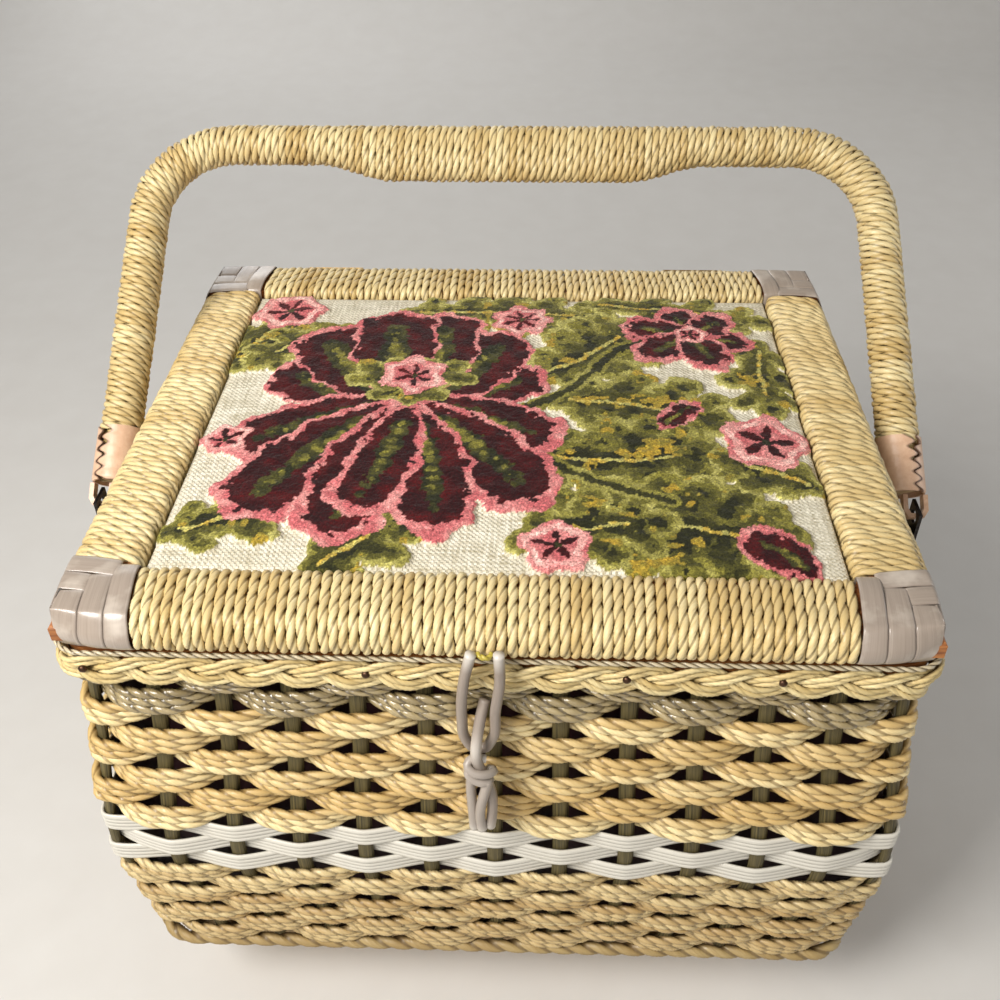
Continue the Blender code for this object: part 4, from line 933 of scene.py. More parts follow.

# %% [markdown]
# ## The tapestry pad
#
# The middle of the lid is padded: cloth stretched over wadding and tucked in at its edges. Its
# swelling is what a cloth simulation does well. A flat pad is pinned at its border and pumped
# up a little, and the height of its face is read back and laid under the fine fabric mesh. The
# wadding is firm, so a cap keeps the swelling small, and half of the height is a smooth crown.

# %% Swell the pad
PAD_X, PAD_Y = 114.6 * MM, 92.2 * MM
PAD_LOW, PAD_EDGE, PAD_CROWN = 184 * MM, 189.7 * MM, 1.9 * MM
pad_columns, pad_rows = 47, 39
pad_x = np.linspace(-PAD_X, PAD_X, pad_columns)
pad_y = np.linspace(-PAD_Y, PAD_Y, pad_rows)


def crown():
    """How far the pad's face stands over its border, on the coarse grid."""
    across, deep = np.meshgrid(pad_x / PAD_X, pad_y / PAD_Y)
    plain = PAD_CROWN * (1 - np.abs(across) ** 5) * (1 - np.abs(deep) ** 5)
    grid = np.stack(np.meshgrid(pad_x, pad_y), -1).reshape(-1, 2)
    top = np.column_stack([grid, np.full(len(grid), PAD_EDGE)])
    under = np.column_stack([grid, np.full(len(grid), PAD_LOW)])
    faces, rim = grid_faces(pad_rows, pad_columns)
    side = np.stack([rim, rim + len(grid), np.roll(rim, -1) + len(grid), np.roll(rim, -1)], -1)
    faces = np.vstack([faces, faces[:, ::-1] + len(grid), side])
    mesh = bpy.data.meshes.new("pad_trial")
    mesh.from_pydata(np.vstack([top, under]).tolist(), [], faces.tolist())
    trial = bpy.data.objects.new("pad_trial", mesh)
    bpy.context.scene.collection.objects.link(trial)
    held = trial.vertex_groups.new(name="held")
    held.add([int(k) for k in rim] + list(range(len(grid), 2 * len(grid))), 1.0, "REPLACE")
    cloth = trial.modifiers.new("cloth", "CLOTH")
    cloth.settings.vertex_group_mass = "held"
    cloth.settings.use_pressure = True
    cloth.settings.uniform_pressure_force = 4.0
    cloth.settings.tension_stiffness = 15
    cloth.settings.effector_weights.gravity = 0
    for step in range(1, 21):
        bpy.context.scene.frame_set(step)
    puffed = trial.evaluated_get(bpy.context.evaluated_depsgraph_get()).to_mesh()
    places = np.zeros(len(puffed.vertices) * 3)
    puffed.vertices.foreach_get("co", places)
    rise = (places.reshape(-1, 3)[: len(grid), 2] - PAD_EDGE).reshape(pad_rows, pad_columns)
    bpy.context.scene.frame_set(1)
    bpy.data.objects.remove(trial)
    print("swelling of the trial pad, mm:", round(float(rise.max()) / MM, 2))
    rise = np.clip(rise, 0, None)
    return 0.5 * plain + 0.5 * rise * PAD_CROWN / max(rise.max(), PAD_CROWN / 3)


pad_rise = crown()
print("pad's crown, mm:", round(float(pad_rise.max()) / MM, 2))

# %% [markdown]
# ## Cut velvet
#
# The cloth is a cream linen weave with flowers of cut pile standing on it. Pile is a brush of
# short threads on end: it is darkest looking into it, shines at grazing angles, and its edges
# are furry. The flowers here are generic ones. Each petal or leaf is a string of circles along
# a bent line, with more circles as scallops, and so every point has a depth inside its edge:
# the first 3 mm are pink, then comes maroon or green, then a heart or a vein.
#
# The mesh is a fine grid. Where a point is inside a shape it is lifted by the pile's height
# and gets the shape's colour. Before the shapes are asked, every point is pushed about by
# noise of a millimetre, and that is what makes the edges furry.

# %% Helpers for the flowers
FABRIC_STEP = 0.5 * MM
fabric_x = np.linspace(-PAD_X, PAD_X, int(2 * PAD_X / FABRIC_STEP))
fabric_y = np.linspace(-PAD_Y, PAD_Y, int(2 * PAD_Y / FABRIC_STEP))
flat_x, flat_y = np.meshgrid(fabric_x, fabric_y)


def mist(size):
    """Smooth noise from -1 to 1 over the fabric, with patches of about this size in mm."""
    columns, rows = int(2 * PAD_X / MM / size) + 3, int(2 * PAD_Y / MM / size) + 3
    seeds = rng.uniform(-1, 1, (rows, columns))
    u, v = (flat_x + PAD_X) / MM / size, (flat_y + PAD_Y) / MM / size
    i, j = u.astype(int), v.astype(int)
    u, v = u - i, v - j
    u, v = u * u * (3 - 2 * u), v * v * (3 - 2 * v)
    low = seeds[j, i] * (1 - u) + seeds[j, i + 1] * u
    high = seeds[j + 1, i] * (1 - u) + seeds[j + 1, i + 1] * u
    return low * (1 - v) + high * v


fur = [0.6 * mist(1.1) + 0.6 * mist(2.4) for _ in range(2)]
fabric = {
    "x": flat_x / MM + fur[0] + 0.8 * mist(7),
    "y": flat_y / MM + fur[1] + 0.8 * mist(7),
    "colour": np.zeros((*flat_x.shape, 3)) + np.array(paint("#DDD5BC")[:3]),
    "pile": np.zeros(flat_x.shape),
}
tint = {
    name: np.array(paint(code)[:3])
    for name, code in {
        "maroon": "#2A0306", "wine": "#52090C", "pink": "#B96062", "rose": "#D3918B", "dark_green": "#22230E",
        "green": "#46441B", "olive": "#78722F", "light_olive": "#ABA45C", "yellow": "#B5922E", "blush": "#E6BBB0",
    }.items()
}
patches = mist(9)


def dye(inside, first, second, share):
    """Colours the points inside with a mixture of two dyes."""
    share = np.clip(share, 0, 1)[..., None]
    mixed = tint[first] * (1 - share) + tint[second] * share
    fabric["colour"] = np.where(inside[..., None], mixed, fabric["colour"])
    fabric["pile"] = np.where(inside, 1.0, fabric["pile"])


def inside_circles(circles):
    """How deep each point lies inside any of the circles (x, y, radius), in mm."""
    depth = np.full(flat_x.shape, -99.0)
    for x, y, radius in circles:
        depth = np.maximum(depth, radius - np.hypot(fabric["x"] - x, fabric["y"] - y))
    return depth


def spine(root, angle, length, curl, steps):
    """Points along a bent line, and its direction at each of them."""
    turn = np.radians(angle) + curl * np.linspace(0, 1, steps)
    way = np.stack([np.cos(turn), np.sin(turn)], 1)
    return np.array(root) + np.vstack([[0, 0], np.cumsum(way[:-1], 0)]) * length / (steps - 1), way


def petal(root, angle, length, half, curl=0.0, rim=3.0, heart=0.36, scallops=3):
    """A blunt petal: pink rim, maroon body and a green heart. Its end is scalloped."""
    spots, way = spine(root, angle, length - half, curl, 13)
    share = np.linspace(0, 1, 13)
    wide = half * (0.24 + 0.76 * np.sin(math.pi / 2 * np.minimum(share / 0.7, 1)))
    circles = [(*spot, radius) for spot, radius in zip(spots, wide)]
    end = math.atan2(way[-1, 1], way[-1, 0])
    for k in range(scallops):
        turn = end + 2.1 * (k / (scallops - 1) - 0.5)
        reach = half * (0.72 + 0.12 * rng.uniform(-1, 1))
        circles.append((spots[-1, 0] + reach * math.cos(turn), spots[-1, 1] + reach * math.sin(turn), 0.4 * half))
    for k, sign in ((5, 1), (6, -1), (8, 1), (9, -1), (11, 1)):
        edge = spots[k] + sign * 0.78 * wide[k] * np.array([-way[k, 1], way[k, 0]])
        circles.append((*edge, 0.34 * wide[k]))
    depth = inside_circles(circles)
    dye(depth > 0, "pink", "rose", 0.45 + 0.6 * mist(4) + 0.3 * mist(1.5) - 0.06 * depth)
    from_tip = length + (root[0] - fabric["x"]) * way[-1, 0] + (root[1] - fabric["y"]) * way[-1, 1]
    flame = 1.3 * mist(3.0) + 0.8 * mist(1.3) + 0.5 * rim * np.clip(1.6 - from_tip / half, 0, 1.6)
    dye(depth > 0.8 * rim + flame, "maroon", "wine", 0.2 + 0.6 * mist(5))
    middles = [(*(spots[k] + way[k] * 0.1 * half), heart * wide[k] * (1.25 - 0.07 * k)) for k in range(3, 13)]
    core = inside_circles(middles)
    dye((core > 1.1 * mist(2.6)) & (depth > rim), "dark_green", "green", 0.35 + 0.8 * mist(3.5))
    dye((core > 0.36 * heart * half + 1.2 * mist(3.0)) & (depth > rim), "olive", "green", 0.35 + 0.9 * mist(2.5))


def leaf(root, angle, length, half, curl=0.0, pairs=4, dark=0.5):
    """A leaf with pairs of round lobes: light at its edge, dark along its spine, with gold in it."""
    steps = 3 * pairs + 1
    spots, way = spine(root, angle, length - 0.4 * half, curl, steps)
    circles = []
    for k in range(steps):
        wide = half * math.sin(math.pi * (0.14 + 0.76 * k / (steps - 1))) ** 0.7
        circles.append((*spots[k], 0.5 * wide))
        if k % 3 == 1:
            across = np.array([-way[k, 1], way[k, 0]])
            for sign in (-1, 1):
                for out, size in ((0.42, 0.4), (0.72, 0.34)):
                    circles.append((*(spots[k] + wide * out * (sign * across + 0.55 * way[k])), wide * size))
    circles.append((*spots[-1], 0.4 * half))
    depth, grain, broad = inside_circles(circles), mist(2.2), mist(8)
    dye(depth > 0, "light_olive", "olive", dark + 0.6 * broad + 0.5 * grain)
    dye(depth > (0.13 + 0.07 * grain) * half, "olive", "green", dark + 0.8 * broad + 0.4 * grain)
    dye(depth > (0.27 + 0.1 * grain + 0.1 * mist(6)) * half, "green", "dark_green", dark + 0.2 + 0.8 * mist(5))
    dye((depth > 0) & (mist(7) + 0.5 * grain > 0.72), "yellow", "olive", 0.3 + 0.6 * grain)
    line = inside_circles([(*spot, 1.0) for spot in flowing(spots[1:-2], 4)])
    dye(line > 0, "light_olive", "yellow", 0.3 + 0.8 * grain)


def open_flower(centre, radius, petals, phase, star=0.42):
    """A small flower seen from above: a scalloped ring with a star in its middle."""
    x, y = fabric["x"] - centre[0], fabric["y"] - centre[1]
    reach, turn = np.hypot(x, y), np.arctan2(y, x)
    edge = radius * (0.9 + 0.1 * np.cos(petals * (turn - phase)))
    dye(reach < edge, "pink", "rose", 0.25 + 0.7 * mist(4) + 0.9 * reach / radius - 0.4)
    dye((reach < edge * 0.86) & (reach > edge * 0.66), "rose", "blush", 0.4 + 0.8 * mist(3))
    points = radius * star * (0.62 + 0.48 * np.cos(petals * (turn - phase)))
    dye(reach < points, "maroon", "wine", 0.2 + 0.6 * patches)
    dye(reach < radius * 0.1, "dark_green", "green", 0.5 + patches)


def stem(points, half):
    """A curved stem: every point nearer to the line than half its width."""
    line = flowing(np.array(points, float), 10)
    near = np.full(flat_x.shape, 1e9)
    for x, y in line:
        near = np.minimum(near, np.hypot(fabric["x"] - x, fabric["y"] - y))
    dye(near < half, "olive", "light_olive", 0.3 + 0.8 * patches)
    dye(near < half * 0.5, "dark_green", "green", 0.4 + 0.6 * patches)


print("fabric points:", flat_x.size)

# %% Grow the flowers
LEAVES = (  # root, angle, length, half its width, curl, pairs of lobes, darkness
    ((-44, 74), 4, 92, 21, -0.2, 5, 0.2), ((34, 84), -8, 84, 17, -0.1, 4, 0.1),
    ((-112, 30), 80, 50, 17, -0.5, 3, 0.3), ((14, 22), 36, 66, 26, 0.4, 4, 0.35),
    ((22, 4), 2, 70, 25, -0.5, 4, 0.3), ((10, -30), -14, 74, 27, 0.6, 4, 0.75),
    ((24, -58), -20, 84, 28, 0.25, 5, 0.8), ((8, -78), 20, 56, 20, -0.3, 3, 0.7),
    ((106, 50), -100, 56, 18, 0.3, 3, 0.25), ((112, -46), 150, 40, 16, 0.2, 3, 0.4),
    ((-112, -76), 20, 56, 18, 0.4, 3, 0.6), ((-60, -92), 40, 44, 18, 0.2, 3, 0.5),
    ((-70, 60), -150, 50, 17, 0.3, 3, 0.35),
)
for one in LEAVES:
    leaf(*one)
stem([(-6, -8), (14, 2), (30, 18), (44, 40), (58, 52)], 4.0)
stem([(-4, -18), (16, -34), (38, -48), (60, -56)], 3.6)
BLOSSOM = (-38, 2)
for angle, length, half in ((14, 58, 14), (166, 62, 15), (42, 68, 17), (138, 72, 17), (72, 72, 17), (108, 74, 17)):
    petal(BLOSSOM, angle, length, half, 0.3 if angle < 90 else -0.3, 2.0, 0.6)
for angle, length, half in (
    (-14, 66, 14), (196, 72, 15), (-40, 82, 16), (222, 88, 17), (-68, 80, 15), (248, 84, 16), (-92, 70, 13),
):
    petal(BLOSSOM, angle, length, half, -0.3 if angle < 0 else 0.3, 3.4, 0.4)
leaf((-38, 4), 122, 36, 15, 0.2, 2, 0.4)
leaf((-38, 4), 58, 36, 15, -0.2, 2, 0.45)
open_flower((-37, 22), 15, 6, 0.5, 0.5)
for angle, length, half in ((100, 26, 9), (160, 30, 10), (215, 30, 10), (-20, 26, 9), (-75, 28, 10), (40, 26, 9)):
    petal((78, 56), angle, length, half, 0.2, 2.4, 0.3)
open_flower((78, 57), 8, 5, 0.2, 0.6)
open_flower((-98, 76), 17, 6, 0.2, 0.55)
open_flower((6, 68), 14, 7, 0.9, 0.55)
open_flower((98, -20), 18, 5, 0.1, 0.55)
open_flower((20, -80), 13, 5, 0.4, 0.55)
open_flower((-104, -22), 10, 5, 0.6, 0.6)
petal((60, -14), 60, 24, 6, -0.3, 1.6, 0.3)
petal((104, -92), 130, 30, 9, 0.2, 2.0, 0.3)
covered = float((fabric["pile"] > 0.5).mean())
print("share under pile:", round(covered, 2))

# %% Weave the fabric
velvet, tree, shader = finish("cut_velvet_on_linen", 0.78)
place = add(tree, "TexCoord").outputs["Object"]
dyed = add(tree, "Attribute", attribute_name="dyed").outputs["Color"]
pile = add(tree, "Attribute", attribute_name="pile").outputs["Fac"]
THREAD = 1.0 * MM
thread_at = add(tree, "VectorMath", {0: place, 1: (math.pi / THREAD,) * 3}, operation="MULTIPLY")
axes = add(tree, "SeparateXYZ", {0: thread_at})
over = [add(tree, "Math", {0: axes.outputs[k]}, operation="SINE") for k in (0, 1)]
weave = add(tree, "Math", {0: over[0], 1: over[1]}, operation="MULTIPLY")
weave = add(tree, "MapRange", {"Value": weave, "From Min": -0.35, "From Max": 0.35})
yarns = []
for stretch in ((90.0, 950.0, 1.0), (950.0, 90.0, 1.0)):
    slub = add(tree, "VectorMath", {0: place, 1: stretch}, operation="MULTIPLY")
    slub = add(tree, "TexNoise", {"Vector": slub, "Scale": 1.0, "Detail": 2.0})
    slub = add(tree, "MapRange", {"Value": slub, "From Min": 0.3, "From Max": 0.7})
    yarns.append(add(tree, "Mix", {0: slub, 6: paint("#B2A789"), 7: paint("#FAF4E2")}, **RGBA))
linen = add(tree, "Mix", {0: weave, 6: yarns[0], 7: yarns[1]}, **RGBA)
# painted sparkle of the pile: the tuft noise lightens and darkens the dye, and the flecks take a brighter lit copy of
# it as painted glints
tufts = add(tree, "TexNoise", {"Vector": place, "Scale": 1500.0, "Detail": 3.0, "Roughness": 0.7})
deep = {"Value": tufts, "From Min": 0.3, "From Max": 0.7, "To Min": 0.35, "To Max": 1.75}
brush = add(tree, "VectorMath", {0: dyed, "Scale": add(tree, "MapRange", deep)}, operation="SCALE")
fleck = add(tree, "TexNoise", {"Vector": place, "Scale": 900.0, "Detail": 1.0})
fleck = add(tree, "MapRange", {"Value": fleck, "From Min": 0.56, "From Max": 0.7, "To Max": 0.55})
lit = add(tree, "VectorMath", {0: dyed, "Scale": 2.6}, operation="SCALE")
pile_colour = add(tree, "Mix", {0: fleck, 6: brush, 7: lit}, **RGBA)
edge = add(tree, "MapRange", {"Value": pile, "From Min": 0.25, "From Max": 0.6}, interpolation_type="SMOOTHSTEP")
colour = add(tree, "Mix", {0: edge, 6: linen, 7: pile_colour}, **RGBA)
height = add(tree, "Mix", {0: edge, 2: weave, 3: tufts}, data_type="FLOAT")
skin_deep(tree, shader, colour, height, 0.7, 0.5 * MM)
shader.inputs["Sheen Weight"].default_value = 0.1
shader.inputs["Sheen Roughness"].default_value = 0.4
shader.inputs["Specular IOR Level"].default_value = 0.25


def soften(values):
    """Each point's mean with its four neighbours."""
    padded = np.pad(values, 1, "edge")
    own = padded[1:-1, 1:-1] * 2
    return (own + padded[:-2, 1:-1] + padded[2:, 1:-1] + padded[1:-1, :-2] + padded[1:-1, 2:]) / 6


PILE = 1.8 * MM
base = np.stack([np.interp(fabric_x, pad_x, row) for row in pad_rise])
base = np.stack([np.interp(fabric_y, pad_y, column) for column in base.T], 1)
lifted = soften(soften(fabric["pile"]))
nap = lifted * (PILE + 0.24 * MM * rng.uniform(-1, 1, flat_x.shape) + 0.25 * MM * mist(3))
tuck = np.minimum(PAD_X - np.abs(flat_x), PAD_Y - np.abs(flat_y))
rounding = np.clip(1 - tuck / (4 * MM), 0, 1) ** 2 * 0.9 * MM
face = PAD_EDGE + base + nap - rounding
print("top of the pile, mm:", round(float(face.max()) / MM, 1), "where the rails reach", LID_TOP / MM)

# %% Stretch it over the pad
front, rim = grid_faces(*face.shape)
points = np.stack([flat_x, flat_y, face], -1).reshape(-1, 3)
lower = points[rim] * (1, 1, 0) + (0, 0, PAD_LOW)
hem = np.arange(len(rim)) + len(points)
quads = np.vstack([front, np.stack([rim, hem, np.roll(hem, -1), np.roll(rim, -1)], -1)])
every = np.vstack([points, lower])
pad = parcel(every, quads, every[quads][..., :2], [hem[::-1]])
dyed = np.vstack([fabric["colour"].reshape(-1, 3), np.tile(tint["olive"], (len(rim), 1))])
standing = np.append(soften(fabric["pile"]).ravel(), np.zeros(len(rim)))
extra = {"dyed": np.column_stack([dyed, np.ones(len(dyed))]), "pile": standing}
tapestry = piece("cut_velvet_pad", [pad], velvet, "lid", ["lid_panel"], extra=extra)
print("fabric faces:", len(quads))

# %% [markdown]
# ## The wound handle
#
# The handle is a bent rod wound with the same cord over its whole length, with a thicker grip
# in the middle. The grip swells only towards the hand, on the inside of the bend. The rod's
# line lies in a plane that leans back over the lid, and a cord carried round that line at an
# even pitch gives the fine ribs that the photograph shows along the edge.

# %% Draw the handle's line
PIVOT = np.array([0, -16, 154.0]) * MM
LEAN = math.radians(39)
HALF, HANDLE_REACH, BEND, TAPER = 158.5 * MM, 160 * MM, 35 * MM, 5 / 160
THICK = 8.5 * MM
FERRULE_START, FERRULE_LONG = 8.7 * MM, 22.7 * MM
GRIP, GRIP_SWELL, GRIP_EASE = 50 * MM, 8 * MM, 34 * MM


def from_bail(points):
    """Points in the handle's own plane, (x, along, off), as points of the basket."""
    x, along, off = np.asarray(points, float).T
    y = along * math.cos(LEAN) - off * math.sin(LEAN)
    z = along * math.sin(LEAN) + off * math.cos(LEAN)
    return np.stack([x, y, z], 1) + PIVOT


def bail_line(spacing):
    """The rod's centre line in its plane, from the left leg over the top to the right leg."""
    leg_top = HANDLE_REACH - BEND
    centre = HALF - TAPER * leg_top - BEND
    start = FERRULE_START + 2.2 * MM
    half = [(-HALF + TAPER * a, a, 0) for a in np.linspace(start, leg_top, 40)]
    for turn in np.radians(np.linspace(178, 92, 30)):
        half.append((-centre + BEND * math.cos(turn), leg_top + BEND * math.sin(turn), 0))
    half += [(x, HANDLE_REACH, 0) for x in np.linspace(-centre, 0, 40)]
    half = np.array(half)
    other = half[::-1][1:] * (-1, 1, 1)
    return evenly(np.vstack([half, other]), spacing)


# %% Wind the handle
HANDLE_STEP, HANDLE_PITCH, HANDLE_CORD, HANDLE_LAY = 0.5 * MM, 3.0 * MM, 1.72 * MM, 15 * MM
PRESSED = 0.72
OFF_PLANE = np.array([0, 0, 1.0])
line = bail_line(HANDLE_STEP)
heading = headings(line, False)
outside = np.stack([-heading[:, 1], heading[:, 0], np.zeros(len(line))], 1)
length = HANDLE_STEP * (len(line) - 1)
run = np.linspace(0, length, len(line))
handle_turns = int(length / HANDLE_PITCH)
rod = THICK - HANDLE_CORD * PRESSED
angles, station, angle, at = [], [], 0.0, 0.0
while at < length:
    station.append(at)
    angles.append(angle)
    x = np.interp(at, run, line[:, 0])
    swollen = rod + (GRIP_SWELL / 2 if abs(x) < GRIP else 0)
    angle += 1.15 * MM / swollen
    at = HANDLE_PITCH * angle / math.tau
station, angles = np.array(station), -np.array(angles)
centre = np.stack([np.interp(station, run, line[:, k]) for k in range(3)], 1)
out_way = unit(np.stack([np.interp(station, run, outside[:, k]) for k in range(3)], 1))
along = centre[:, 1]
sleeve = np.clip((along - FERRULE_START - FERRULE_LONG) / (2 * MM), -1, 0)
swell = GRIP_SWELL * np.clip((GRIP + GRIP_EASE - np.abs(centre[:, 0])) / GRIP_EASE, 0, 1) * (along > 0.15)
swell = swell * (3 - 2 * swell / GRIP_SWELL) * swell / GRIP_SWELL
turn_number = -angles / math.tau
reach = rod + sleeve * 1.6 * MM + per_turn(turn_number, rng.normal(0, 0.1 * MM, handle_turns + 3))
cosine, sine = np.cos(angles), np.sin(angles)
out = cosine * (reach + np.where(cosine < 0, swell, 0))
side = OFF_PLANE * (sine * reach)[:, None]
path = from_bail(centre + out_way * out[:, None] + side)
normal = from_bail(unit(out_way * (cosine * reach)[:, None] + side)) - PIVOT
tone = per_turn(turn_number, rng.random(handle_turns + 3))
lay = HANDLE_LAY * per_turn(turn_number, rng.uniform(0.85, 1.2, handle_turns + 3))
winding = cord_skin(path, normal, TWO_PLY, HANDLE_CORD, lay, tone=tone, flat=PRESSED)
piece("cord_wound_handle", [winding], rail_cord, "handle", ["handle_winding"])
print("handle:", handle_turns, "turns over", round(length / MM), "mm")

# %% [markdown]
# ## Ferrules
#
# A ferrule is a sheet-metal sleeve that clamps the end of each leg. It is punched with a zigzag
# edge and rolled round the cord, and its two edges meet like teeth that are a little apart. The
# gap is widest at the top, where the cord shows in it. The sheet is enamelled in pinkish beige:
# even, slightly glossy, with the dark metal bare along the cut edges.
#
# Each ring of the mesh is a C: round the outside, and back along the inside. Its two ends move
# with the zigzag.

# %% Roll the ferrules
beige_enamel, tree, shader = finish("stoved_beige_enamel", 0.36)
place = add(tree, "TexCoord").outputs["Object"]
dust = add(tree, "TexNoise", {"Vector": place, "Scale": 260.0, "Detail": 5.0, "Roughness": 0.7})
share = add(tree, "MapRange", {"Value": dust, "From Min": 0.3, "From Max": 0.75})
colour = add(tree, "Mix", {0: share, 6: paint("#E2BFA0"), 7: paint("#CFA586")}, **RGBA)
bare_edge = add(tree, "Attribute", attribute_name="hollow").outputs["Fac"]
colour = add(tree, "Mix", {0: bare_edge, 6: colour, 7: paint("#5A4034")}, **RGBA)
skin_deep(tree, shader, colour, dust, 0.12, 0.3 * MM)
FERRULE, SHEET = 9.1 * MM, 0.8 * MM
TOOTH, TOOTH_REACH = 5.0 * MM, 3.6 * MM
ROUND_IT = 44


def ferrule_skin(sign):
    """A rolled sleeve on one leg, with its toothed seam to the front and outside."""
    along = np.arange(0, FERRULE_LONG + 0.1 * MM, 0.4 * MM)
    share = along / FERRULE_LONG
    teeth = 2 * np.abs((along / TOOTH) % 1 - 0.5) - 0.5
    zigzag = TOOTH_REACH * np.sin(math.pi * teeth) / 2
    gap = (0.4 + 5.2 * share**2.4) * MM + np.clip(2.2 * MM - along, 0, None)
    first, last = (zigzag + gap / 2) / FERRULE, math.tau + (zigzag - gap / 2) / FERRULE
    turn = first[:, None] + (last - first)[:, None] * np.linspace(0, 1, ROUND_IT)[None]
    flare = np.clip(1 - along / (1.5 * MM), 0, 1) ** 2 * 0.5 * MM
    outer = FERRULE - flare[:, None] + 0 * turn
    radius = np.concatenate([outer, outer - SHEET], 1)
    angle = np.concatenate([turn, turn[:, ::-1]], 1)
    seam = math.radians(118) if sign > 0 else math.radians(62)
    place = FERRULE_START + along
    x = sign * (HALF - TAPER * place)[:, None] - radius * np.cos(angle + seam)
    rings = np.stack([x, place[:, None] + 0 * x, radius * np.sin(angle + seam)], -1)
    rings = from_bail(rings.reshape(-1, 3)).reshape(rings.shape)
    hollow = np.zeros(rings.shape[:2])
    hollow[:, [0, ROUND_IT - 1, ROUND_IT, -1]] = 0.85
    return skin(rings, np.append(place, place[-1]), hollow=hollow)


for sign, side in ((-1, "left"), (1, "right")):
    node = f"handle_ferrule_{side}"
    sleeve = [ferrule_skin(sign)]
    piece(f"rolled_ferrule_{side}", sleeve, beige_enamel, "handle", [node], smooth=False)
print("ferrule, mm:", round(FERRULE_LONG / MM, 1), "long")

# %% [markdown]
# ## The latch
#
# A loop of soft vinyl cord hangs from the lid, and a knotted toggle of the same cord hangs from
# the rim. The loop goes over the toggle's knot and so holds the lid shut. Vinyl that was pushed
# through a die is smooth, greyish mauve and a little shiny. It is painted pale where it is bent,
# partly for the whitening of bent vinyl and partly as painted highlights on the knot.
#
# Loop and toggle are limp cords of a fixed length, each riding on a body of its own.

# %% Form the vinyl cord
vinyl_cord, tree, shader = finish("extruded_grey_vinyl", 0.34, ior=1.53)
uv = add(tree, "UVMap", uv_map="cord")
die_lines = add(tree, "VectorMath", {0: uv, 1: (9.0, 45.0, 1.0)}, operation="MULTIPLY")
die_lines = add(tree, "TexNoise", {"Vector": die_lines, "Scale": 1.0, "Detail": 3.0})
tone = add(tree, "Attribute", attribute_name="tone").outputs["Fac"]
colour = add(tree, "Mix", {0: die_lines, 6: paint("#A3968A"), 7: paint("#7E7268")}, **RGBA)
# tone is paleness here: whitening where the cord is bent, and painted highlights on the knot
colour = add(tree, "Mix", {0: tone, 6: colour, 7: paint("#E2DCD2")}, **RGBA)
skin_deep(tree, shader, colour, die_lines, 0.2, 0.3 * MM)
SMOOTH = np.ones(14)
TO_FRONT = (0.0, -1.0, 0.0)
VINYL_STEP = 0.9 * MM
LATCH_X, LOOP_Y = -2.4 * MM, -123.6 * MM
LOOP_TOP, LOOP_DROP, LOOP_SIDE = 186 * MM, 45.6 * MM, 7.2 * MM
LOOP_SHAPE = (
    (-0.5, 0), (-0.83, 0.26), (-1, 0.66), (-0.86, 0.89), (-0.5, 0.98),
    (-0.02, 0.98), (0.33, 0.88), (0.51, 0.57), (0.72, 0.26), (0.69, 0),
)
route = [(LATCH_X + LOOP_SIDE * a, LOOP_Y, LOOP_TOP - LOOP_DROP * b) for a, b in LOOP_SHAPE]
loop_path = evenly(flowing(route, 12), VINYL_STEP)
from_end = np.minimum(np.arange(len(loop_path)), np.arange(len(loop_path))[::-1]) * VINYL_STEP
pale = np.clip(1 - from_end / (7 * MM), 0, 1) * 0.7
loop = cord_skin(loop_path, TO_FRONT, SMOOTH, 1.8 * MM, tone=pale)
loop_piece = piece("vinyl_latch_loop", [loop], vinyl_cord, "loop", ["latch_loop"])

# %% Knot the toggle
toggle_route = [
    (-2.2, -120.4, 161.9), (-3.3, -122.6, 157.6), (-4.2, -125.2, 153), (-5.0, -128.4, 147.4), (-4.9, -129.3, 142),
    (-3.6, -129.3, 137), (-1.6, -129.4, 131), (-0.2, -129.6, 124), (-0.1, -129.9, 116), (-0.9, -130.0, 107),
]
toggle_path = thread(toggle_route, 10, VINYL_STEP)
bend = np.linspace(0, 1, len(toggle_path))
# pale where the cord turns into the knot, a painted highlight, and at its cut end
pale = 0.5 * np.exp(-((bend - 0.3) ** 2) / 0.006) + 0.4 * np.exp(-((bend - 1) ** 2) / 0.004)
main = cord_skin(toggle_path, TO_FRONT, SMOOTH, 1.85 * MM, tone=pale)
toggle = piece("vinyl_toggle_cord", [main], vinyl_cord, "toggle", ["latch_toggle"])
wraps = (
    [(-6.4, -129.4, 136), (-7.1, -129.3, 130), (-7.0, -129.5, 122), (-6.7, -129.8, 114), (-6.5, -129.9, 105.9)],
    [(-1.2, -131.2, 134), (-2.4, -131.7, 128), (-3.7, -131.6, 121), (-4.2, -131.2, 114), (-3.7, -130.9, 106.5)],
    [
        (-2, -127.6, 140.5), (-6.6, -128.2, 141.2), (-8.0, -129.9, 140.2), (-6.2, -131.8, 138.8),
        (-3.2, -132.1, 138), (-0.4, -130.6, 136.9), (0.6, -128.6, 135.8), (-1.6, -127.2, 135),
    ],
    [
        (-3.2, -127.4, 136.4), (-7.2, -128.6, 137.2), (-7.9, -130.2, 136.2), (-5.6, -131.7, 134.4),
        (-2.2, -131.8, 133.4), (-0.6, -130.2, 132.8), (-1.8, -127.9, 132.4),
    ],
)
skins = []
for k, route in enumerate(wraps):
    path = thread(route, 12, 0.8 * MM)
    bend = np.linspace(-1, 1, len(path))
    pale = 0.15 + (0.7 * np.abs(bend) ** 3 if k > 1 else 0.55 * np.clip(bend, 0, 1) ** 6)
    skins.append(cord_skin(path, (0.0, -1.0, 0.001), SMOOTH, (1.75 if k < 2 else 1.45) * MM, tone=pale))
knot = piece("vinyl_toggle_knot", skins, vinyl_cord, "toggle")

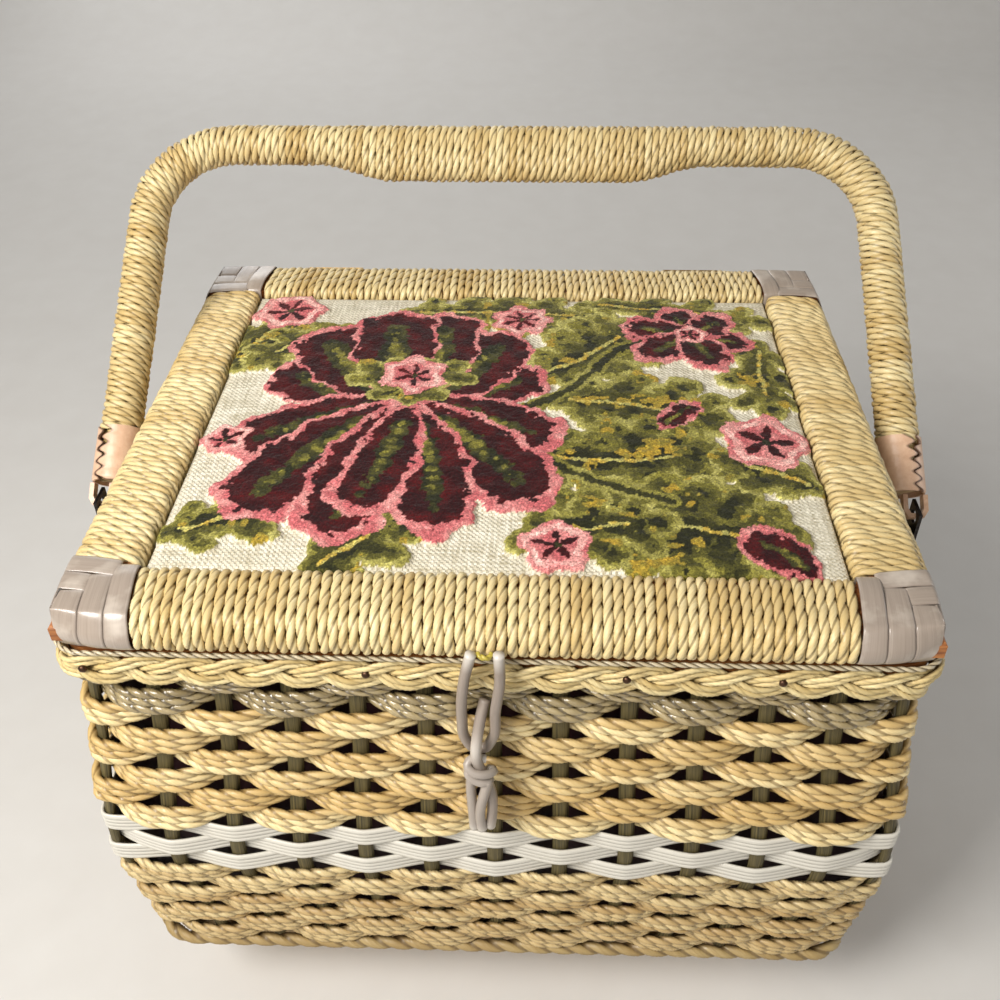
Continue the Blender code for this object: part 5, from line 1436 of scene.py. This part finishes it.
# %% Twist the tie
tie_plastic, tree, shader = finish("olive_yellow_polythene_tie", 0.22, ior=1.5)
mottle = add(tree, "TexNoise", {"Vector": add(tree, "TexCoord").outputs["Object"], "Scale": 500.0, "Detail": 2.0})
skin_deep(tree, shader, add(tree, "Mix", {0: mottle, 6: paint("#D9C65A"), 7: paint("#8D7D2C")}, **RGBA))
tie_route = [
    (-4.2, -122.3, 185), (-3.2, -123.6, 185.3), (-1.8, -124.2, 185), (-0.4, -123.7, 184.8), (0.5, -122.2, 185),
]
path = thread(tie_route, 12, 0.35 * MM)
tie = cord_skin(path, (0.0, 0.0, 1.0), TWO_PLY, 0.95 * MM, 4.2 * MM)
piece("twisted_tie", [tie], tie_plastic, "lid", ["latch_tie"])
print("tie twisted")

# %% [markdown]
# ## Lining
#
# Through the gaps of the weave the photograph shows only a dark maroon: a satin lining over
# thin board. Satin is woven so that its threads float on one side, which gives a soft broad
# sheen. Each lining panel is its own thin sheet with slight waves, since glued satin is never
# quite flat. Front and back of a panel are two grids of points, joined at the edge.

# %% Weave the satin
satin, tree, shader = finish("maroon_satin_weave", 0.5)
place = add(tree, "TexCoord").outputs["Object"]
bands = {"wave_type": "BANDS", "bands_direction": "Z"}
threads = add(tree, "TexWave", {"Vector": place, "Scale": 700.0, "Distortion": 0.6}, **bands)
drape = add(tree, "TexNoise", {"Vector": place, "Scale": 30.0, "Detail": 3.0})
colour = add(tree, "Mix", {0: drape, 6: paint("#470F19"), 7: paint("#2A080F")}, **RGBA)
skin_deep(tree, shader, colour, threads, 0.2, 0.2 * MM)
shader.inputs["Sheen Weight"].default_value = 0.12


def sheet_skin(front, back):
    """A closed sheet between two equal grids of points."""
    rows, columns = front.shape[:2]
    step = rows * columns
    top, rim = grid_faces(rows, columns)
    top = np.roll(top[:, ::-1], 1, 1)
    after = np.roll(rim, -1)
    quads = np.vstack([top, top[:, ::-1] + step, np.stack([rim, after, after + step, rim + step], -1)])
    points = np.vstack([front.reshape(-1, 3), back.reshape(-1, 3)])
    corners = points[quads]
    facing = np.cross(corners[:, 2] - corners[:, 0], corners[:, 3] - corners[:, 1])
    if (facing * (corners.mean(1) - points.mean(0))).sum() < 0:
        quads = quads[:, ::-1]
    grid = np.stack(np.meshgrid(np.arange(columns), np.arange(rows)), -1).reshape(-1, 2) * 4 * MM
    return parcel(points, quads, np.vstack([grid, grid])[quads])


LINED_IN, LINED_THICK, LINED_FLOOR, SHY_OF_WEAVE = 15.4 * MM, 2 * MM, 8.8 * MM, 11.4 * MM
HOOP_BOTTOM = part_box("rim_frame")[0][2]
heights = np.linspace(LINED_FLOOR + 0.4 * MM, HOOP_BOTTOM - 0.4 * MM, 42)
for wall, way in (("front", (0, -1)), ("back", (0, 1)), ("left", (-1, 0)), ("right", (1, 0))):
    low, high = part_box(f"lining_{wall}")
    along = 0 if way[0] == 0 else 1
    share = np.linspace(-1, 1, 64)
    span = share * high[along]
    grids = []
    for depth in (LINED_IN + LINED_THICK, LINED_IN):
        grid = np.zeros((len(heights), len(span), 3))
        for k, z in enumerate(heights):
            half = wall_half(min(z, WALL_TOP))
            ripple = 0.35 * MM * np.sin(span / (9 * MM) + 1.3 * math.sin(z / (22 * MM)) + 3 * way[0])
            reach = half[1 - along] - depth - (ripple if depth > LINED_IN else 0)
            limit = half[along] - (depth + 0.2 * MM if along else SHY_OF_WEAVE)
            grid[k, :, along] = share * limit
            grid[k, :, 1 - along] = reach * way[1 - along]
            grid[k, :, 2] = z
        grids.append(grid)
    lining = piece(f"satin_lining_{wall}", [sheet_skin(*grids)], satin, "basket", [f"lining_{wall}"])


def flat_satin(name, node, body, swell):
    """A level satin sheet in a node's box, with its face on the open side."""
    low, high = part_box(node)
    x, y = np.meshgrid(np.linspace(low[0], high[0], 70), np.linspace(low[1], high[1], 56))
    wave = 0.25 * MM * np.sin(x / (11 * MM) + 1.7 * np.sin(y / (16 * MM)))
    face, rear = (high[2], low[2]) if swell > 0 else (low[2], high[2])
    front = np.stack([x, y, face - swell * (0.3 * MM - wave)], -1)
    back = np.stack([x, y, np.full_like(x, rear)], -1)
    thing = piece(name, [sheet_skin(front, back)], satin, body, [node])


flat_satin("satin_lining_floor", "lining_floor", "basket", 1)
flat_satin("satin_lining_lid", "lid_lining", "lid", -1)
print("lining sheets:", 6)

# %% [markdown]
# ## Board, wood and metal that the solid model already has
#
# Some solids have the right shape and only need their finish: the base and lid boards, the
# wooden frames, the handle's core, the dark steel brackets, the painted eyes and the brass
# hinges. Each gets a small bevel as a modifier, because a real edge is never perfectly sharp,
# and the light line along an edge is what makes a part look solid.


# %% Finish the solid parts
def worn_metal(name, light, dark, roughness, metallic, grit_mm):
    """Metal with fine marks. grit_mm is the distance between marks."""
    material, tree, shader = finish(name, roughness, metallic)
    place = add(tree, "TexCoord").outputs["Object"]
    marks = add(tree, "TexNoise", {"Vector": place, "Scale": 1 / (grit_mm * MM), "Detail": 4.0, "Roughness": 0.65})
    share = add(tree, "MapRange", {"Value": marks, "From Min": 0.3, "From Max": 0.7})
    rough = add(tree, "MapRange", {"Value": marks, "To Min": roughness * 0.7, "To Max": roughness * 1.3})
    join(tree, rough, shader.inputs["Roughness"])
    colour = add(tree, "Mix", {0: share, 6: paint(light), 7: paint(dark)}, **RGBA)
    skin_deep(tree, shader, colour, marks, 0.15, 0.2 * MM)
    return material


dark_steel = worn_metal("blackened_steel_strip", "#4A4644", "#262322", 0.45, 1.0, 1.4)
brass = worn_metal("stamped_brass", "#C9A25A", "#9A7636", 0.32, 1.0, 1.8)
eye_enamel = worn_metal("stoved_beige_eye_enamel", "#E2BFA0", "#CBA081", 0.38, 0.0, 2.2)
FINISHES = {
    board_wood: ("base_board", "lid_board", "handle_core"),
    rim_wood: ("rim_frame", "lid_frame"),
    dark_steel: ("handle_bracket_left", "handle_bracket_right"),
    eye_enamel: ("handle_eye_left", "handle_eye_right"),
    brass: ("hinge_lower_left", "hinge_lower_right", "hinge_upper_left", "hinge_upper_right"),
}
for material, nodes in FINISHES.items():
    for node in nodes:
        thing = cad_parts[node]
        for slot in thing.material_slots:
            slot.link = "OBJECT"
            slot.material = material
        bevel = thing.modifiers.new("eased_edge", "BEVEL")
        bevel.width = (0.7 if "eye" in node else 0.3) * MM
        bevel.segments = 2
        bevel.limit_method = "ANGLE"
print("finished solids:", sum(len(nodes) for nodes in FINISHES.values()))

# %% [markdown]
# ## Backdrop and sizes
#
# The backdrop is a sheet of matt paper that lies under the basket and curves up behind it. It
# is not part of the object. Last comes the size of the visual model.

# %% The studio floor
floor_material, tree, shader = finish("matt_paper_backdrop", 0.85)
speckle = add(tree, "TexNoise", {"Vector": add(tree, "TexCoord").outputs["Object"], "Scale": 40.0, "Detail": 5.0})
skin_deep(tree, shader, add(tree, "Mix", {0: speckle, 6: paint("#D2CFCA"), 7: paint("#DAD8D4")}, **RGBA))
profile = [(-1.6, 0), (0.9, 0), (1.1, 0.03), (1.25, 0.12), (1.32, 0.3), (1.34, 1.6)]
profile = flowing(np.array([(0, y, z) for y, z in profile], float), 8)
mesh = bpy.data.meshes.new("studio_floor")
verts = [(x, p[1], p[2] - 0.05 * MM) for p in profile for x in (-2.2, 2.2)]
faces = [(2 * k, 2 * k + 1, 2 * k + 3, 2 * k + 2) for k in range(len(profile) - 1)]
mesh.from_pydata(verts, [], faces)
mesh.shade_smooth()
mesh.materials.append(floor_material)
floor = bpy.data.objects.new("studio_floor", mesh)
bpy.context.scene.collection.objects.link(floor)
floor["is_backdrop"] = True

low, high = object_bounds()
print("visual model, mm:", [round(s / MM, 1) for s in high - low])
